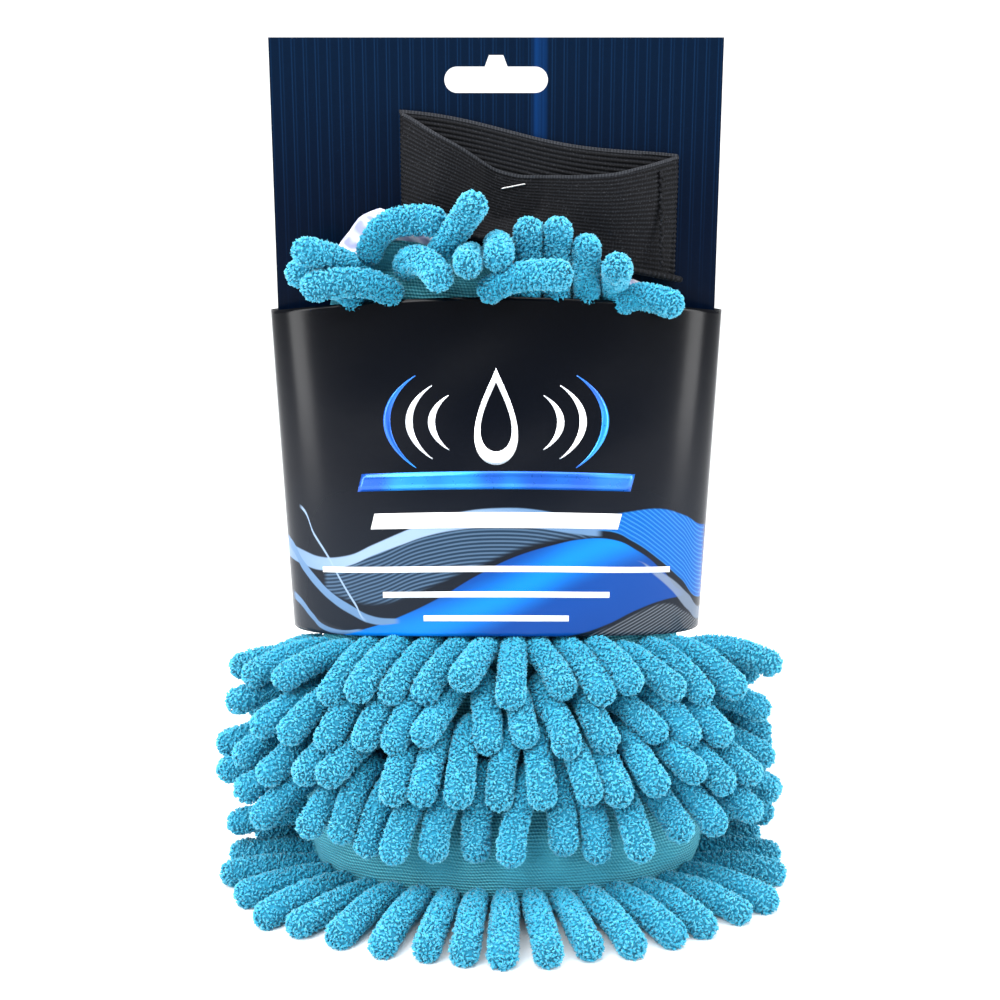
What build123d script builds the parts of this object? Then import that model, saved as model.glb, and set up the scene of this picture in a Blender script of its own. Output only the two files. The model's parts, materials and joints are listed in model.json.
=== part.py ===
from build123d import *
import os
from math import cos, pi, radians, sin, sqrt

import numpy as np

# Chenille wash mitt on its hanging card. Millimetres, +Z up, +X right, the card faces -Y.
# The pieces are laid out with the card's front face on the plane y = 0 and its middle on x = 0.
# At the end everything is shifted so that the origin is the middle of the footprint, on the ground.

# Hanging card
CARD_WIDTH = 140.0
CARD_TOP = 267.0
CARD_BOTTOM = 78.0
CARD_THICKNESS = 0.6
CARD_TAPER = 4.5            # how much narrower each side is at the bottom, inside the band
SLOT_WIDTH = 32.0
SLOT_HEIGHT = 7.8
SLOT_CENTRE_Z = 254.5
SLOT_BUMP_RISE = 3.4
SLOT_BUMP_TOP = 4.4
SLOT_BUMP_BASE = 10.0

# Printed band wrapped round the mitt and the card
BAND_TOP = 183.0
BAND_BOTTOM = 77.0
BAND_EDGE_RISE = 7.0        # both edges rise this much at the middle
BAND_MARGIN_TOP = 2.4       # how far the band reaches past the card's side at its top
BAND_MARGIN_BOTTOM = -1.6   # the same at its bottom, where the card is tapered
BAND_HALF_WIDTH_TOP = CARD_WIDTH / 2 + BAND_MARGIN_TOP
BAND_HALF_WIDTH_BOTTOM = CARD_WIDTH / 2 + BAND_MARGIN_BOTTOM
BAND_BULGE_TOP = 24.0
BAND_BULGE_BOTTOM = 31.0
BAND_THICKNESS = 0.5
BAND_TRIM_DEPTH = 60.0      # half the depth of the block that cuts both curved edges
BAND_CARD_GAP = 0.2
LAP_WIDTH = 14.0
LAP_THICKNESS = 0.4

# Mitt body: ellipse sections as (height, middle x, middle y, half width, half depth)
BODY_SECTIONS = (           # under the band's top it lies within the band's bulge
    (0.0, 3.0, -28.0, 60.0, 25.0),
    (12.0, 3.0, -28.0, 64.0, 27.0),
    (28.0, 3.0, -26.0, 65.0, 25.0),
    (50.0, 2.0, -20.0, 62.0, 20.0),
    (77.0, 1.0, -13.0, 58.0, 10.0),
    (100.0, 1.0, -11.6, 57.0, 7.6),
    (150.0, 1.5, -10.6, 57.0, 6.4),
    (185.0, 3.5, -0.4 * BAND_BULGE_TOP, 58.0, BAND_BULGE_TOP / 3.75),
    (213.0, 10.0, -7.0, 47.5, 6.2),
    (232.0, 14.0, -6.6, 43.0, 5.8),
)
JOIN_RING_REACH = 30.0      # half the height of the blank ring the join seam is cut from
PANEL_THICKNESS = 1.0
LINING_THICKNESS = 0.8
SHOULDER_REVEAL = 7.0       # how far the lining shows beyond the knitted panels
SEAM_WIDTH = 1.6
SEAM_STAND = 0.7            # how far the side seam stands out of the body

# Elastic cuff
CUFF_LEFT = -30.0
CUFF_RIGHT = 57.0
CUFF_WALL = 1.2
CUFF_BACK_Y = -0.6
CUFF_TOP_LEFT = 245.0
CUFF_TOP_RIGHT = 231.0
CUFF_FRONT_DROP = 9.0       # how much lower the front edge lies than the back edge
CUFF_LOBE_LEFT = 9.0        # bulge of the mouth to the left of the staple
CUFF_LOBE_RIGHT = 11.6
JOIN_MIDDLE_X = 10.0
JOIN_MIDDLE_Z = 204.0
JOIN_SLOPE = -0.21
JOIN_THICKNESS = 1.6
PINCH_MARGIN = 1.5          # flat cloth on either side of the staple's crown
CUFF_REACH_DOWN = 40.0      # how far below its seam the untrimmed cuff is carried
CUFF_REACH_UP = 10.0
TRIM_SIZE = 400.0           # side of a trimming block, larger than the part
CUFF_SEAM_X = 51.0
CUFF_SEAM_WIDTH = 1.4
CUFF_SEAM_STAND = 0.8

# Staple through the pinched cuff and the card
STAPLE_X = 5.3
STAPLE_Z = 222.4
STAPLE_CROWN = 8.0
STAPLE_WIRE = 0.5
STAPLE_TILT = 11.0
STAPLE_CLINCH = 3.0
STAPLE_HOLE_PLAY = 0.05

# Chenille noodles
NOODLE_DIAMETER = 8.4
NOODLE_LENGTH = 28.0
NOODLE_GAP = 0.35
NOODLE_SKIN_GAP = 1.5       # room between a root's round end and the sloping panel
NOODLE_PITCH = NOODLE_DIAMETER + 0.9
# Front rows from the top: height at the sides, share of the band edge's rise, droop at the middle
FRONT_ROWS = (
    (71.5, 1.0, 26.0),
    (60.5, 0.9, 42.0),
    (50.0, 0.7, 52.0),
    (40.0, 0.6, 57.0),
)
BACK_ROW_TOP = 70.0
BACK_ROW_STEP = 12.6
BACK_ROWS = 5
FRINGE_Z = 5.2
FRINGE_REACH = 27.0
BACK_DROOP = 46.0
DROOP_SIDE = 12.0
PARTING = 16.0              # how far a row's halves lean away from the front's middle
LEAN_SPREAD = 12.0          # unevenness of the noodles' directions
DROOP_SPREAD = 9.0
LENGTH_SPREAD = 1.3
PRESSED_DIAMETER = 2.4
PRESSED_LENGTH = 12.0
PRESSED_ROWS = 5
PRESSED_STEP = 16.0
PRESSED_HALF_SPAN = 40.0
SETTLE_STEPS = 500
BAND_CLEARANCE = 0.6        # room between a skirt noodle and the band
GROUND_CLEARANCE = 0.15
ROOT_GIVE = 0.35            # share of a push that a noodle's root takes while settling
PUSH_SHARE = 0.35           # share of an overlap cleared in one settling step
NEIGHBOUR_REACH = 60.0

NOODLE_R = NOODLE_DIAMETER / 2
BAND_BACK_Y = CARD_THICKNESS + BAND_CARD_GAP + BAND_THICKNESS

# Crown noodles, as root x, root height above BAND_TOP, stand off the panel, tip x, tip height,
# and how far the tip stands forward of the root
CROWN_TUCKED = (
    (-25.5, 16.8, 1.1, -17.0, 15.0, 12.5),
    (-7.9, 18.4, 1.1, -8.2, 18.4, 12.6),
    (0.9, 21.6, 1.3, 0.7, 20.6, 11.5),
    (1.8, 11.9, 9.5, 18.0, 15.4, 8.0),
    (46.5, 9.0, 0.9, 56.5, 7.6, -0.2),
    (-47.0, 8.7, 0.4, -60.0, 14.2, -1.0),
    (-36.0, 10.1, 4.1, -54.0, 11.4, 6.0),
)
# Free crown noodles, each hinged where it bends over the band's upper edge
CROWN_FREE = {
    "leaning_crown_noodle": (-16.5, 21.4, 1.5, -7.0, 34.2, 9.2),
    "left_arching_crown_noodle": (-35.3, 22.2, 1.5, -20.2, 30.9, 2.8),
    "middle_upright_crown_noodle": (9.8, 11.9, 0.6, 9.8, 26.5, 1.7),
    "second_upright_crown_noodle": (18.6, 11.6, 0.6, 18.6, 26.5, 1.7),
    "tall_upright_crown_noodle": (27.6, 10.9, 0.6, 27.4, 21.5, 2.0),
    "short_upright_crown_noodle": (36.6, 10.2, 0.8, 36.4, 16.5, 6.5),
    "left_outward_crown_noodle": (-43.0, 17.3, 1.6, -56.6, 21.3, 11.1),
}
RNG = np.random.default_rng(7)


# ---------------------------------------------------------------- shared shapes

def band_edge(x, base):
    """Height of a band edge at x: an arc that rises at the middle."""
    return base + BAND_EDGE_RISE * (1 - (np.asarray(x) / BAND_HALF_WIDTH_TOP) ** 2)


def band_size(z):
    """Half width and bulge of the band at a height, growing evenly between its two edges."""
    share = (z - BAND_BOTTOM) / (BAND_TOP - BAND_BOTTOM)
    half_width = BAND_HALF_WIDTH_BOTTOM + share * (BAND_HALF_WIDTH_TOP - BAND_HALF_WIDTH_BOTTOM)
    bulge = BAND_BULGE_BOTTOM + share * (BAND_BULGE_TOP - BAND_BULGE_BOTTOM)
    return half_width, bulge


def body_section(z):
    """Middle x, middle y, half width and half depth of the mitt body at a height."""
    table = np.array(BODY_SECTIONS)
    return tuple(np.interp(z, table[:, 0], table[:, column]) for column in (1, 2, 3, 4))


def body_loft(inset):
    """The mitt body as one closed solid, its surface moved inwards by inset."""
    faces = []
    for z, middle_x, middle_y, half_width, half_depth in BODY_SECTIONS:
        height = max(z, inset)
        plane = Plane.XY.offset(height)
        ellipse = Ellipse(half_width - inset, half_depth - inset)
        faces.append(plane * Pos(middle_x, middle_y) * ellipse)
    return loft(faces, ruled=True)


def join_height(x):
    """Height of the slanting seam between cuff and body."""
    return JOIN_MIDDLE_Z + JOIN_SLOPE * (x - JOIN_MIDDLE_X)


def slab_below_join(drop):
    """Everything lower than the slanting seam, moved down by drop."""
    span = 150.0
    outline = Polyline(
        (-span, join_height(-span) - drop),
        (span, join_height(span) - drop),
        (span, -10),
        (-span, -10),
        close=True,
    )
    return extrude(Plane.XZ * make_face(outline), 200, both=True)


def middle_polyline():
    """Points up the middle of the body from the side, where the two panels meet."""
    return [(middle_y, z) for z, _, middle_y, _, _ in BODY_SECTIONS]


def half_space(front):
    """Everything on the front or the back side of the body's middle."""
    points = middle_polyline()
    far = -200.0 if front else 200.0
    bottom = (points[0][0], -20.0)
    top = (points[-1][0], 300.0)
    outline = Polyline(bottom, *points, top, (far, 300.0), (far, -20.0), close=True)
    return extrude(Plane.YZ * make_face(outline), 200, both=True)


def shoulder_trim():
    """A block that keeps the panels and leaves the lining showing at both shoulders."""
    points = []
    for sign in (-1, 1):
        side = []
        for z, middle_x, _, half_width, _ in BODY_SECTIONS:
            reveal = SHOULDER_REVEAL if z > BAND_TOP + 10 else -20.0
            side.append((middle_x + sign * (half_width - reveal), z))
        side = [(side[0][0], -20.0)] + side + [(side[-1][0], 300.0)]
        points += side if sign < 0 else side[::-1]
    return extrude(Plane.XZ * make_face(Polyline(*points, close=True)), 200, both=True)


# ---------------------------------------------------------------- card, band, staple

def staple_legs(radius):
    """The two leg positions of the staple as cylinders along Y."""
    legs = []
    for side in (-1, 1):
        reach = side * (STAPLE_CROWN - STAPLE_WIRE) / 2
        x = STAPLE_X + reach * cos(radians(STAPLE_TILT))
        z = STAPLE_Z + reach * sin(radians(STAPLE_TILT))
        leg = Cylinder(radius, 30, rotation=(90, 0, 0))
        legs.append(Pos(x, 0, z) * leg)
    return legs


def hang_slot():
    """Euro hang slot: a round-ended bar with a bump over its middle."""
    bar = SlotOverall(SLOT_WIDTH, SLOT_HEIGHT)
    low = 0.0
    high = SLOT_HEIGHT / 2 + SLOT_BUMP_RISE
    bump = make_face(Polyline(
        (-SLOT_BUMP_BASE / 2, low),
        (SLOT_BUMP_BASE / 2, low),
        (SLOT_BUMP_TOP / 2, high),
        (-SLOT_BUMP_TOP / 2, high),
        close=True,
    ))
    outline = Plane.XZ * (bar + bump)
    return Pos(0, 0, SLOT_CENTRE_Z) * extrude(outline, 5, both=True)


def backing_card():
    """Flat card, straight above the band and slightly tapered inside it."""
    half = CARD_WIDTH / 2
    low_half = half - CARD_TAPER
    outline = Polyline(
        (-low_half, CARD_BOTTOM),
        (low_half, CARD_BOTTOM),
        (half, BAND_TOP - 2),
        (half, CARD_TOP),
        (-half, CARD_TOP),
        (-half, BAND_TOP - 2),
        close=True,
    )
    card = extrude(Plane.XZ * make_face(outline), -CARD_THICKNESS)
    card -= hang_slot()
    for hole in staple_legs(STAPLE_WIRE / 2 + STAPLE_HOLE_PLAY):
        card -= hole
    return card


def band_profile(z, inset):
    """Flat back and half-ellipse front of the band at a height, moved inwards by inset."""
    half_width, bulge = band_size(z)
    back = BAND_BACK_Y - inset
    depth = bulge + BAND_BACK_Y - 2 * inset
    oval = Ellipse(half_width - inset, depth)
    front_half = Pos(0, -depth) * Rectangle(3 * half_width, 2 * depth)
    return Plane.XY.offset(z) * Pos(0, back) * (oval & front_half)


def band_trim():
    """A block whose lower and upper faces are the two curved edges of the band."""
    wide = BAND_HALF_WIDTH_TOP
    low = ThreePointArc((-wide, BAND_BOTTOM), (0, BAND_BOTTOM + BAND_EDGE_RISE), (wide, BAND_BOTTOM))
    high = ThreePointArc((-wide, BAND_TOP), (0, BAND_TOP + BAND_EDGE_RISE), (wide, BAND_TOP))
    sides = [Line(low @ 1, high @ 1), Line(high @ 0, low @ 0)]
    return extrude(Plane.XZ * make_face([low, high] + sides), BAND_TRIM_DEPTH, both=True)


def sleeve_band():
    """Closed printed band: flat wall behind the card, bulged wall in front of the mitt."""
    reach = 15.0
    heights = (BAND_BOTTOM - reach, BAND_TOP + reach)
    outer = loft([band_profile(z, 0.0) for z in heights], ruled=True)
    inner = loft([band_profile(z, BAND_THICKNESS) for z in heights], ruled=True)
    return (outer - inner) & band_trim()


def band_glue_lap():
    """Overlapping end of the band, glued down the middle of its back wall."""
    length = BAND_TOP - BAND_BOTTOM - 2
    lap = Box(LAP_WIDTH, LAP_THICKNESS, length)
    return Pos(0, BAND_BACK_Y + LAP_THICKNESS / 2, (BAND_TOP + BAND_BOTTOM) / 2 + BAND_EDGE_RISE) * lap


def staple():
    """Wire staple: crown in front of the pinched cuff, legs clinched behind the card."""
    wire = STAPLE_WIRE / 2
    half = (STAPLE_CROWN - STAPLE_WIRE) / 2
    front = pinch_front_y() - wire
    back = CARD_THICKNESS + wire
    path = FilletPolyline(
        (-half + STAPLE_CLINCH, back, 0),
        (-half, back, 0),
        (-half, front, 0),
        (half, front, 0),
        (half, back, 0),
        (half - STAPLE_CLINCH, back, 0),
        radius=2.2 * wire,
    )
    section = Plane(origin=path @ 0, z_dir=path % 0) * Circle(wire)
    body = sweep(section, path=path)
    return Pos(STAPLE_X, 0, STAPLE_Z) * Rot(0, -STAPLE_TILT, 0) * body


# ---------------------------------------------------------------- cuff

def pinch_front_y():
    """Front face of the cuff where the staple presses its two walls together."""
    return CUFF_BACK_Y - 2 * CUFF_WALL - 0.4


def lobe(left, right, depth, inset):
    """One mouth of the cuff in plan: straight back, bowed front."""
    back = CUFF_BACK_Y - inset
    front_edge = (left + right) / 2
    bow = ThreePointArc((left, back), (front_edge, back - depth), (right, back))
    return make_face([bow, Line(bow @ 1, bow @ 0)])


def cuff_plan(inset):
    """Plan of the cuff with the staple's pinch between its two mouths."""
    pinch_half = STAPLE_CROWN / 2 + PINCH_MARGIN
    gap = pinch_half + inset if inset > 0 else 0.0
    left = lobe(CUFF_LEFT + inset, STAPLE_X - gap, CUFF_LOBE_LEFT - 2 * inset, inset)
    right = lobe(STAPLE_X + gap, CUFF_RIGHT - inset, CUFF_LOBE_RIGHT - 2 * inset, inset)
    if inset > 0:
        return [left, right]
    pinch_depth = CUFF_BACK_Y - pinch_front_y()
    pinch = Pos(STAPLE_X, CUFF_BACK_Y - pinch_depth / 2) * Rectangle(2 * pinch_half, pinch_depth)
    return [left + right + pinch]


def cuff_outer():
    """The cuff's outside as one solid, before it is hollowed or trimmed."""
    low = JOIN_MIDDLE_Z - CUFF_REACH_DOWN
    return extrude(Plane.XY.offset(low) * cuff_plan(0.0)[0], CUFF_TOP_LEFT + CUFF_REACH_UP - low)


def cuff_top_trim():
    """Everything above the cuff's mouth: a plane sloping to the right and to the front."""
    width = CUFF_RIGHT - CUFF_LEFT
    depth = CUFF_LOBE_RIGHT
    slope_x = Vector(width, 0, CUFF_TOP_RIGHT - CUFF_TOP_LEFT)
    slope_y = Vector(0, -depth, -CUFF_FRONT_DROP)
    normal = slope_y.cross(slope_x).normalized()
    if normal.Z < 0:
        normal = normal * -1
    mouth = Plane(origin=(CUFF_LEFT, CUFF_BACK_Y, CUFF_TOP_LEFT), z_dir=normal)
    return extrude(mouth * Rectangle(TRIM_SIZE, TRIM_SIZE), TRIM_SIZE / 2)


def cuff():
    """Ribbed elastic cuff, a flattened tube with its walls stapled together near the middle."""
    low = JOIN_MIDDLE_Z - CUFF_REACH_DOWN
    wall = cuff_outer()
    for cavity in cuff_plan(CUFF_WALL):
        wall -= extrude(Plane.XY.offset(low) * cavity, CUFF_TOP_LEFT + CUFF_REACH_UP - low)
    wall -= cuff_top_trim()
    wall -= slab_below_join(-JOIN_THICKNESS / 2)
    for hole in staple_legs(STAPLE_WIRE / 2 + STAPLE_HOLE_PLAY):
        wall -= hole
    return wall


def cuff_side_seam():
    """Sewn ridge down the front of the cuff near its right end."""
    bottom = join_height(CUFF_SEAM_X) + JOIN_THICKNESS + 0.5
    top = CUFF_TOP_RIGHT - CUFF_FRONT_DROP * 0.45
    ridge = Box(CUFF_SEAM_WIDTH, 40, top - bottom)
    strip = Pos(CUFF_SEAM_X, -20 + CUFF_BACK_Y, (top + bottom) / 2) * ridge
    low = JOIN_MIDDLE_Z - CUFF_REACH_DOWN
    plan = offset(cuff_plan(0.0)[0], CUFF_SEAM_STAND, kind=Kind.INTERSECTION)
    grown = extrude(Plane.XY.offset(low) * plan, CUFF_TOP_LEFT - low)
    return (strip & grown) - cuff_outer()


def cuff_join_binding():
    """Rolled seam between the cuff and the mitt body, an oval ring lying on the slant."""
    middle_x, middle_y, half_width, half_depth = body_section(JOIN_MIDDLE_Z)
    low = JOIN_MIDDLE_Z - JOIN_RING_REACH
    top = Plane.XY.offset(low)
    reach = half_width + 1.0
    ring = extrude(top * Pos(middle_x, middle_y) * Ellipse(reach, half_depth), 2 * JOIN_RING_REACH)
    for cavity in cuff_plan(CUFF_WALL):
        ring -= extrude(top * cavity, 2 * JOIN_RING_REACH)
    upper = slab_below_join(-JOIN_THICKNESS / 2)
    lower = slab_below_join(JOIN_THICKNESS / 2)
    return (ring & upper) - lower


# ---------------------------------------------------------------- mitt body

def body_below_join(solid):
    """Trim a body piece just under the cuff's seam."""
    return solid & slab_below_join(JOIN_THICKNESS / 2)


def panels():
    """Front and back knitted panels, split along the body's middle."""
    outer = body_loft(0.0)
    shell = outer - body_loft(PANEL_THICKNESS)
    shell = body_below_join(shell) & shoulder_trim()
    front = shell & half_space(True)
    back = shell & half_space(False)
    return front, back


def lining():
    """Smooth inner bag, open at the top, showing at the two shoulders."""
    bag = body_loft(PANEL_THICKNESS) - body_loft(PANEL_THICKNESS + LINING_THICKNESS)
    return body_below_join(bag)


def side_seam(sign):
    """Sewn ridge where the two panels meet down one side, under the band's lower edge."""
    solid = None
    table = [row for row in BODY_SECTIONS if row[0] <= BAND_BOTTOM]
    for low, high in zip(table[:-1], table[1:]):
        corners = []
        for z, middle_x, middle_y, half_width, _ in (low, high):
            edge = middle_x + sign * half_width
            corners.append((edge - sign * 0.2, middle_y, z))
            corners.append((edge + sign * SEAM_STAND, middle_y, z))
        faces = []
        for inner, outer in (corners[:2], corners[2:]):
            middle = (inner[0] + outer[0]) / 2
            plate = Rectangle(abs(outer[0] - inner[0]), SEAM_WIDTH)
            faces.append(Plane.XY.offset(inner[2]) * Pos(middle, inner[1]) * plate)
        piece = loft(faces, ruled=True)
        solid = piece if solid is None else solid + piece
    return solid - body_loft(0.0)


# ---------------------------------------------------------------- noodles

class Noodle:
    """A straight noodle from a root to a tip, both the middles of its round ends."""

    def __init__(self, group, root, tip):
        self.group = group
        self.root = np.array(root, float)
        self.tip = np.array(tip, float)


def ring_point(z, turn, margin):
    """Point at an ellipse angle round the body, margin outside its surface."""
    middle_x, middle_y, half_width, half_depth = body_section(z)
    x = middle_x + (half_width + margin) * cos(turn)
    y = middle_y + (half_depth + margin) * sin(turn)
    return np.array((x, y, z))


def even_turns(z, margin, start, end, pitch):
    """Ellipse angles between start and end that are evenly spaced along the body."""
    fine = np.linspace(start, end, 721)
    middle_x, middle_y, half_width, half_depth = body_section(z)
    x = (half_width + margin) * np.cos(fine)
    y = (half_depth + margin) * np.sin(fine)
    run = np.concatenate(([0.0], np.cumsum(np.hypot(np.diff(x), np.diff(y)))))
    count = max(int(run[-1] / pitch), 1)
    places = (np.arange(count) + 0.5) * run[-1] / count
    return np.interp(places, run, fine)


def noodle_row(group, z, start, end, stagger, arched, droop_middle):
    """One sewn row of noodles, parted at the middle, fanning out and drooping most there."""
    row = []
    margin = NOODLE_R + NOODLE_SKIN_GAP
    turns = even_turns(z, margin, start, end, NOODLE_PITCH)
    step = turns[1] - turns[0] if len(turns) > 1 else 0.0
    middle = (start + end) / 2
    for turn in turns:
        turn = turn + stagger * step
        x = ring_point(z, turn, margin)[0]
        rise = arched * BAND_EDGE_RISE * (1 - (x / BAND_HALF_WIDTH_TOP) ** 2)
        root = ring_point(z + rise, turn, margin)
        face_on = abs(sin(turn)) ** 1.5
        droop = DROOP_SIDE + (droop_middle - DROOP_SIDE) * face_on
        droop = radians(droop + RNG.normal(0, DROOP_SPREAD))
        aside = PARTING * np.tanh(5 * (turn - middle)) * face_on
        lean = turn + radians(aside + RNG.normal(0, LEAN_SPREAD))
        away = np.array((cos(lean) * cos(droop), sin(lean) * cos(droop), -sin(droop)))
        length = NOODLE_LENGTH - NOODLE_DIAMETER + RNG.normal(0, LENGTH_SPREAD)
        row.append(Noodle(group, root, root + away * length))
    return row


def fringe_row(group, start, end):
    """Noodles sewn into the bottom seam, lying on the ground and fanning outwards."""
    row = []
    margin = NOODLE_R + NOODLE_SKIN_GAP
    for turn in even_turns(FRINGE_Z, margin, start, end, NOODLE_PITCH):
        root = ring_point(FRINGE_Z, turn, margin)
        lean = turn + radians(RNG.normal(0, 3.0))
        reach = FRINGE_REACH - NOODLE_R + RNG.normal(0, 1.2)
        away = np.array((cos(lean), sin(lean), 0.0)) * reach
        tip = root + away
        tip[2] = NOODLE_R + 0.15
        row.append(Noodle(group, root, tip))
    return row


def crown_noodle(group, root_x, root_rise, stand, tip_x, tip_rise, forward):
    """A noodle standing on the front panel above the band."""
    root_z = BAND_TOP + root_rise
    middle_x, middle_y, half_width, half_depth = body_section(root_z)
    share = min(abs(root_x - middle_x) / half_width, 0.96)
    surface = middle_y - half_depth * sqrt(1 - share ** 2)
    y = surface - NOODLE_R - stand
    return Noodle(group, (root_x, y, root_z), (tip_x, y - forward, BAND_TOP + tip_rise))


def crown_noodles():
    """The noodles above the band, placed one by one."""
    tucked = [crown_noodle("tucked_crown_noodles", *place) for place in CROWN_TUCKED]
    free = [crown_noodle(name, *place) for name, place in CROWN_FREE.items()]
    return tucked + free


def skirt_noodles():
    """Every full-size noodle below the band before it settles."""
    noodles = []
    for index, (z, arched, droop) in enumerate(FRONT_ROWS):
        name = f"front_noodle_row_{index + 1}"
        noodles += noodle_row(name, z, pi, 2 * pi, 0.25 * (-1) ** index, arched, droop)
    for index in range(BACK_ROWS):
        z = BACK_ROW_TOP - index * BACK_ROW_STEP
        name = f"back_noodle_row_{index + 1}"
        noodles += noodle_row(name, z, 0.0, pi, 0.25 * (-1) ** index, 0.0, BACK_DROOP)
    noodles += fringe_row("front_bottom_fringe", pi, 2 * pi)
    noodles += fringe_row("back_bottom_fringe", 0.0, pi)
    return noodles


def closest(roots, tips, first, second):
    """Closest points of many pairs of segments, as shares along each and the gap vector."""
    run_a = tips[first] - roots[first]
    run_b = tips[second] - roots[second]
    between = roots[first] - roots[second]
    aa = np.einsum("ij,ij->i", run_a, run_a)
    bb = np.einsum("ij,ij->i", run_b, run_b)
    ab = np.einsum("ij,ij->i", run_a, run_b)
    ar = np.einsum("ij,ij->i", run_a, between)
    br = np.einsum("ij,ij->i", run_b, between)
    share_a = np.clip((ab * br - ar * bb) / np.maximum(aa * bb - ab * ab, 1e-9), 0, 1)
    share_b = np.clip((ab * share_a + br) / bb, 0, 1)
    share_a = np.clip((ab * share_b - ar) / aa, 0, 1)
    gap = between + run_a * share_a[:, None] - run_b * share_b[:, None]
    return share_a, share_b, gap


def keep_outside_body(points, margin):
    """Move points outwards from the body's middle until they clear its surface by margin."""
    middle_x, middle_y, half_width, half_depth = body_section(points[:, 2])
    dx = points[:, 0] - middle_x
    dy = points[:, 1] - middle_y
    level = np.sqrt((dx / (half_width + margin)) ** 2 + (dy / (half_depth + margin)) ** 2)
    grow = np.where(level < 1, 1 / np.maximum(level, 0.05), 1.0)
    moved = points.copy()
    moved[:, 0] = middle_x + dx * grow
    moved[:, 1] = middle_y + dy * grow
    return moved


def keep_under_band(points):
    """Hold noodles under the band's lower edge."""
    clear = NOODLE_R + BAND_CLEARANCE
    half_width = BAND_HALF_WIDTH_TOP + clear
    depth = BAND_BULGE_BOTTOM + BAND_BACK_Y + clear
    across = np.clip(np.abs(points[:, 0]) / half_width, 0, 1)
    front = BAND_BACK_Y - depth * np.sqrt(1 - across ** 2)
    behind = BAND_BACK_Y + LAP_THICKNESS + clear
    inside = (across < 1) & (points[:, 1] > front) & (points[:, 1] < behind)
    edge = np.where(points[:, 1] < 0, band_edge(points[:, 0], BAND_BOTTOM), BAND_BOTTOM)
    moved = points.copy()
    moved[:, 2] = np.where(inside, np.minimum(moved[:, 2], edge - clear), moved[:, 2])
    return moved


def settle(noodles):
    """Turn the noodles about their roots until none touches another, the body or the band."""
    roots = np.array([noodle.root for noodle in noodles])
    tips = np.array([noodle.tip for noodle in noodles])
    lengths = np.linalg.norm(tips - roots, axis=1)
    skin = NOODLE_R + NOODLE_SKIN_GAP
    ground = NOODLE_R + GROUND_CLEARANCE
    need = NOODLE_DIAMETER + NOODLE_GAP
    first, second = np.triu_indices(len(noodles), 1)
    apart = np.linalg.norm((roots + tips)[first] / 2 - (roots + tips)[second] / 2, axis=1)
    first, second = first[apart < NEIGHBOUR_REACH], second[apart < NEIGHBOUR_REACH]
    for _ in range(SETTLE_STEPS):
        share_a, share_b, gap = closest(roots, tips, first, second)
        distance = np.linalg.norm(gap, axis=1)
        short = np.maximum(need - distance, 0) * PUSH_SHARE
        push = gap / np.maximum(distance, 1e-6)[:, None] * short[:, None]
        move_root = np.zeros_like(roots)
        move_tip = np.zeros_like(tips)
        np.add.at(move_root, first, push * (1 - share_a)[:, None])
        np.add.at(move_tip, first, push * share_a[:, None])
        np.add.at(move_root, second, -push * (1 - share_b)[:, None])
        np.add.at(move_tip, second, -push * share_b[:, None])
        roots = keep_under_band(keep_outside_body(roots + move_root * ROOT_GIVE, skin))
        roots[:, 2] = np.maximum(roots[:, 2], ground)
        tips = keep_outside_body(tips + move_tip, skin)
        middles = (roots + tips) / 2
        tips += 2 * (keep_outside_body(middles, skin) - middles)
        tips = keep_under_band(tips)
        tips[:, 2] = np.maximum(tips[:, 2], ground)
        run = tips - roots
        tips = roots + run * (lengths / np.linalg.norm(run, axis=1))[:, None]
        tips[:, 2] = np.maximum(tips[:, 2], ground)
    for noodle, root, tip in zip(noodles, roots, tips):
        noodle.root, noodle.tip = root, tip
    return noodles


def least_gap(noodles):
    """Smallest distance between the surfaces of any two noodles."""
    roots = np.array([noodle.root for noodle in noodles])
    tips = np.array([noodle.tip for noodle in noodles])
    _, _, gap = closest(roots, tips, *np.triu_indices(len(noodles), 1))
    return np.linalg.norm(gap, axis=1).min() - NOODLE_DIAMETER


def capsule(root, tip, radius):
    """Round-ended rod between two points."""
    run = Vector(*(tip - root))
    half = run.length / 2
    outline = make_face([
        CenterArc((0, -half), radius, -90, 90),
        Line((radius, -half), (radius, half)),
        CenterArc((0, half), radius, 0, 90),
        Line((0, half + radius), (0, -half - radius)),
    ])
    rod = revolve(Plane.XZ * outline, Axis.Z)
    middle = Vector(*((root + tip) / 2))
    return Plane(origin=middle, z_dir=run.normalized()) * rod


def pressed_noodles(front):
    """Noodles squeezed flat under the band, hanging straight down in rows."""
    rods = []
    radius = PRESSED_DIAMETER / 2
    count = int(2 * PRESSED_HALF_SPAN / NOODLE_PITCH)
    for row in range(PRESSED_ROWS):
        z = BAND_TOP - 4 - row * PRESSED_STEP
        for index in range(count):
            x = -PRESSED_HALF_SPAN + (index + 0.5) * 2 * PRESSED_HALF_SPAN / count
            ends = []
            for height in (z, z - PRESSED_LENGTH):
                middle_x, middle_y, half_width, half_depth = body_section(height)
                bow = half_depth * sqrt(1 - ((x - middle_x) / half_width) ** 2)
                out = bow + radius + 0.4
                y = middle_y - out if front else middle_y + out
                ends.append(np.array((x, y, height)))
            rods.append(capsule(ends[0], ends[1], radius))
    return rods


def footprint_middle(noodles):
    """Middle of the box that the noodles fill in plan, which is the widest part of the object."""
    ends = np.array([point for noodle in noodles for point in (noodle.root, noodle.tip)])
    middle = (ends.min(axis=0) + ends.max(axis=0)) / 2
    return Vector(middle[0], middle[1], 0)


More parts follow.
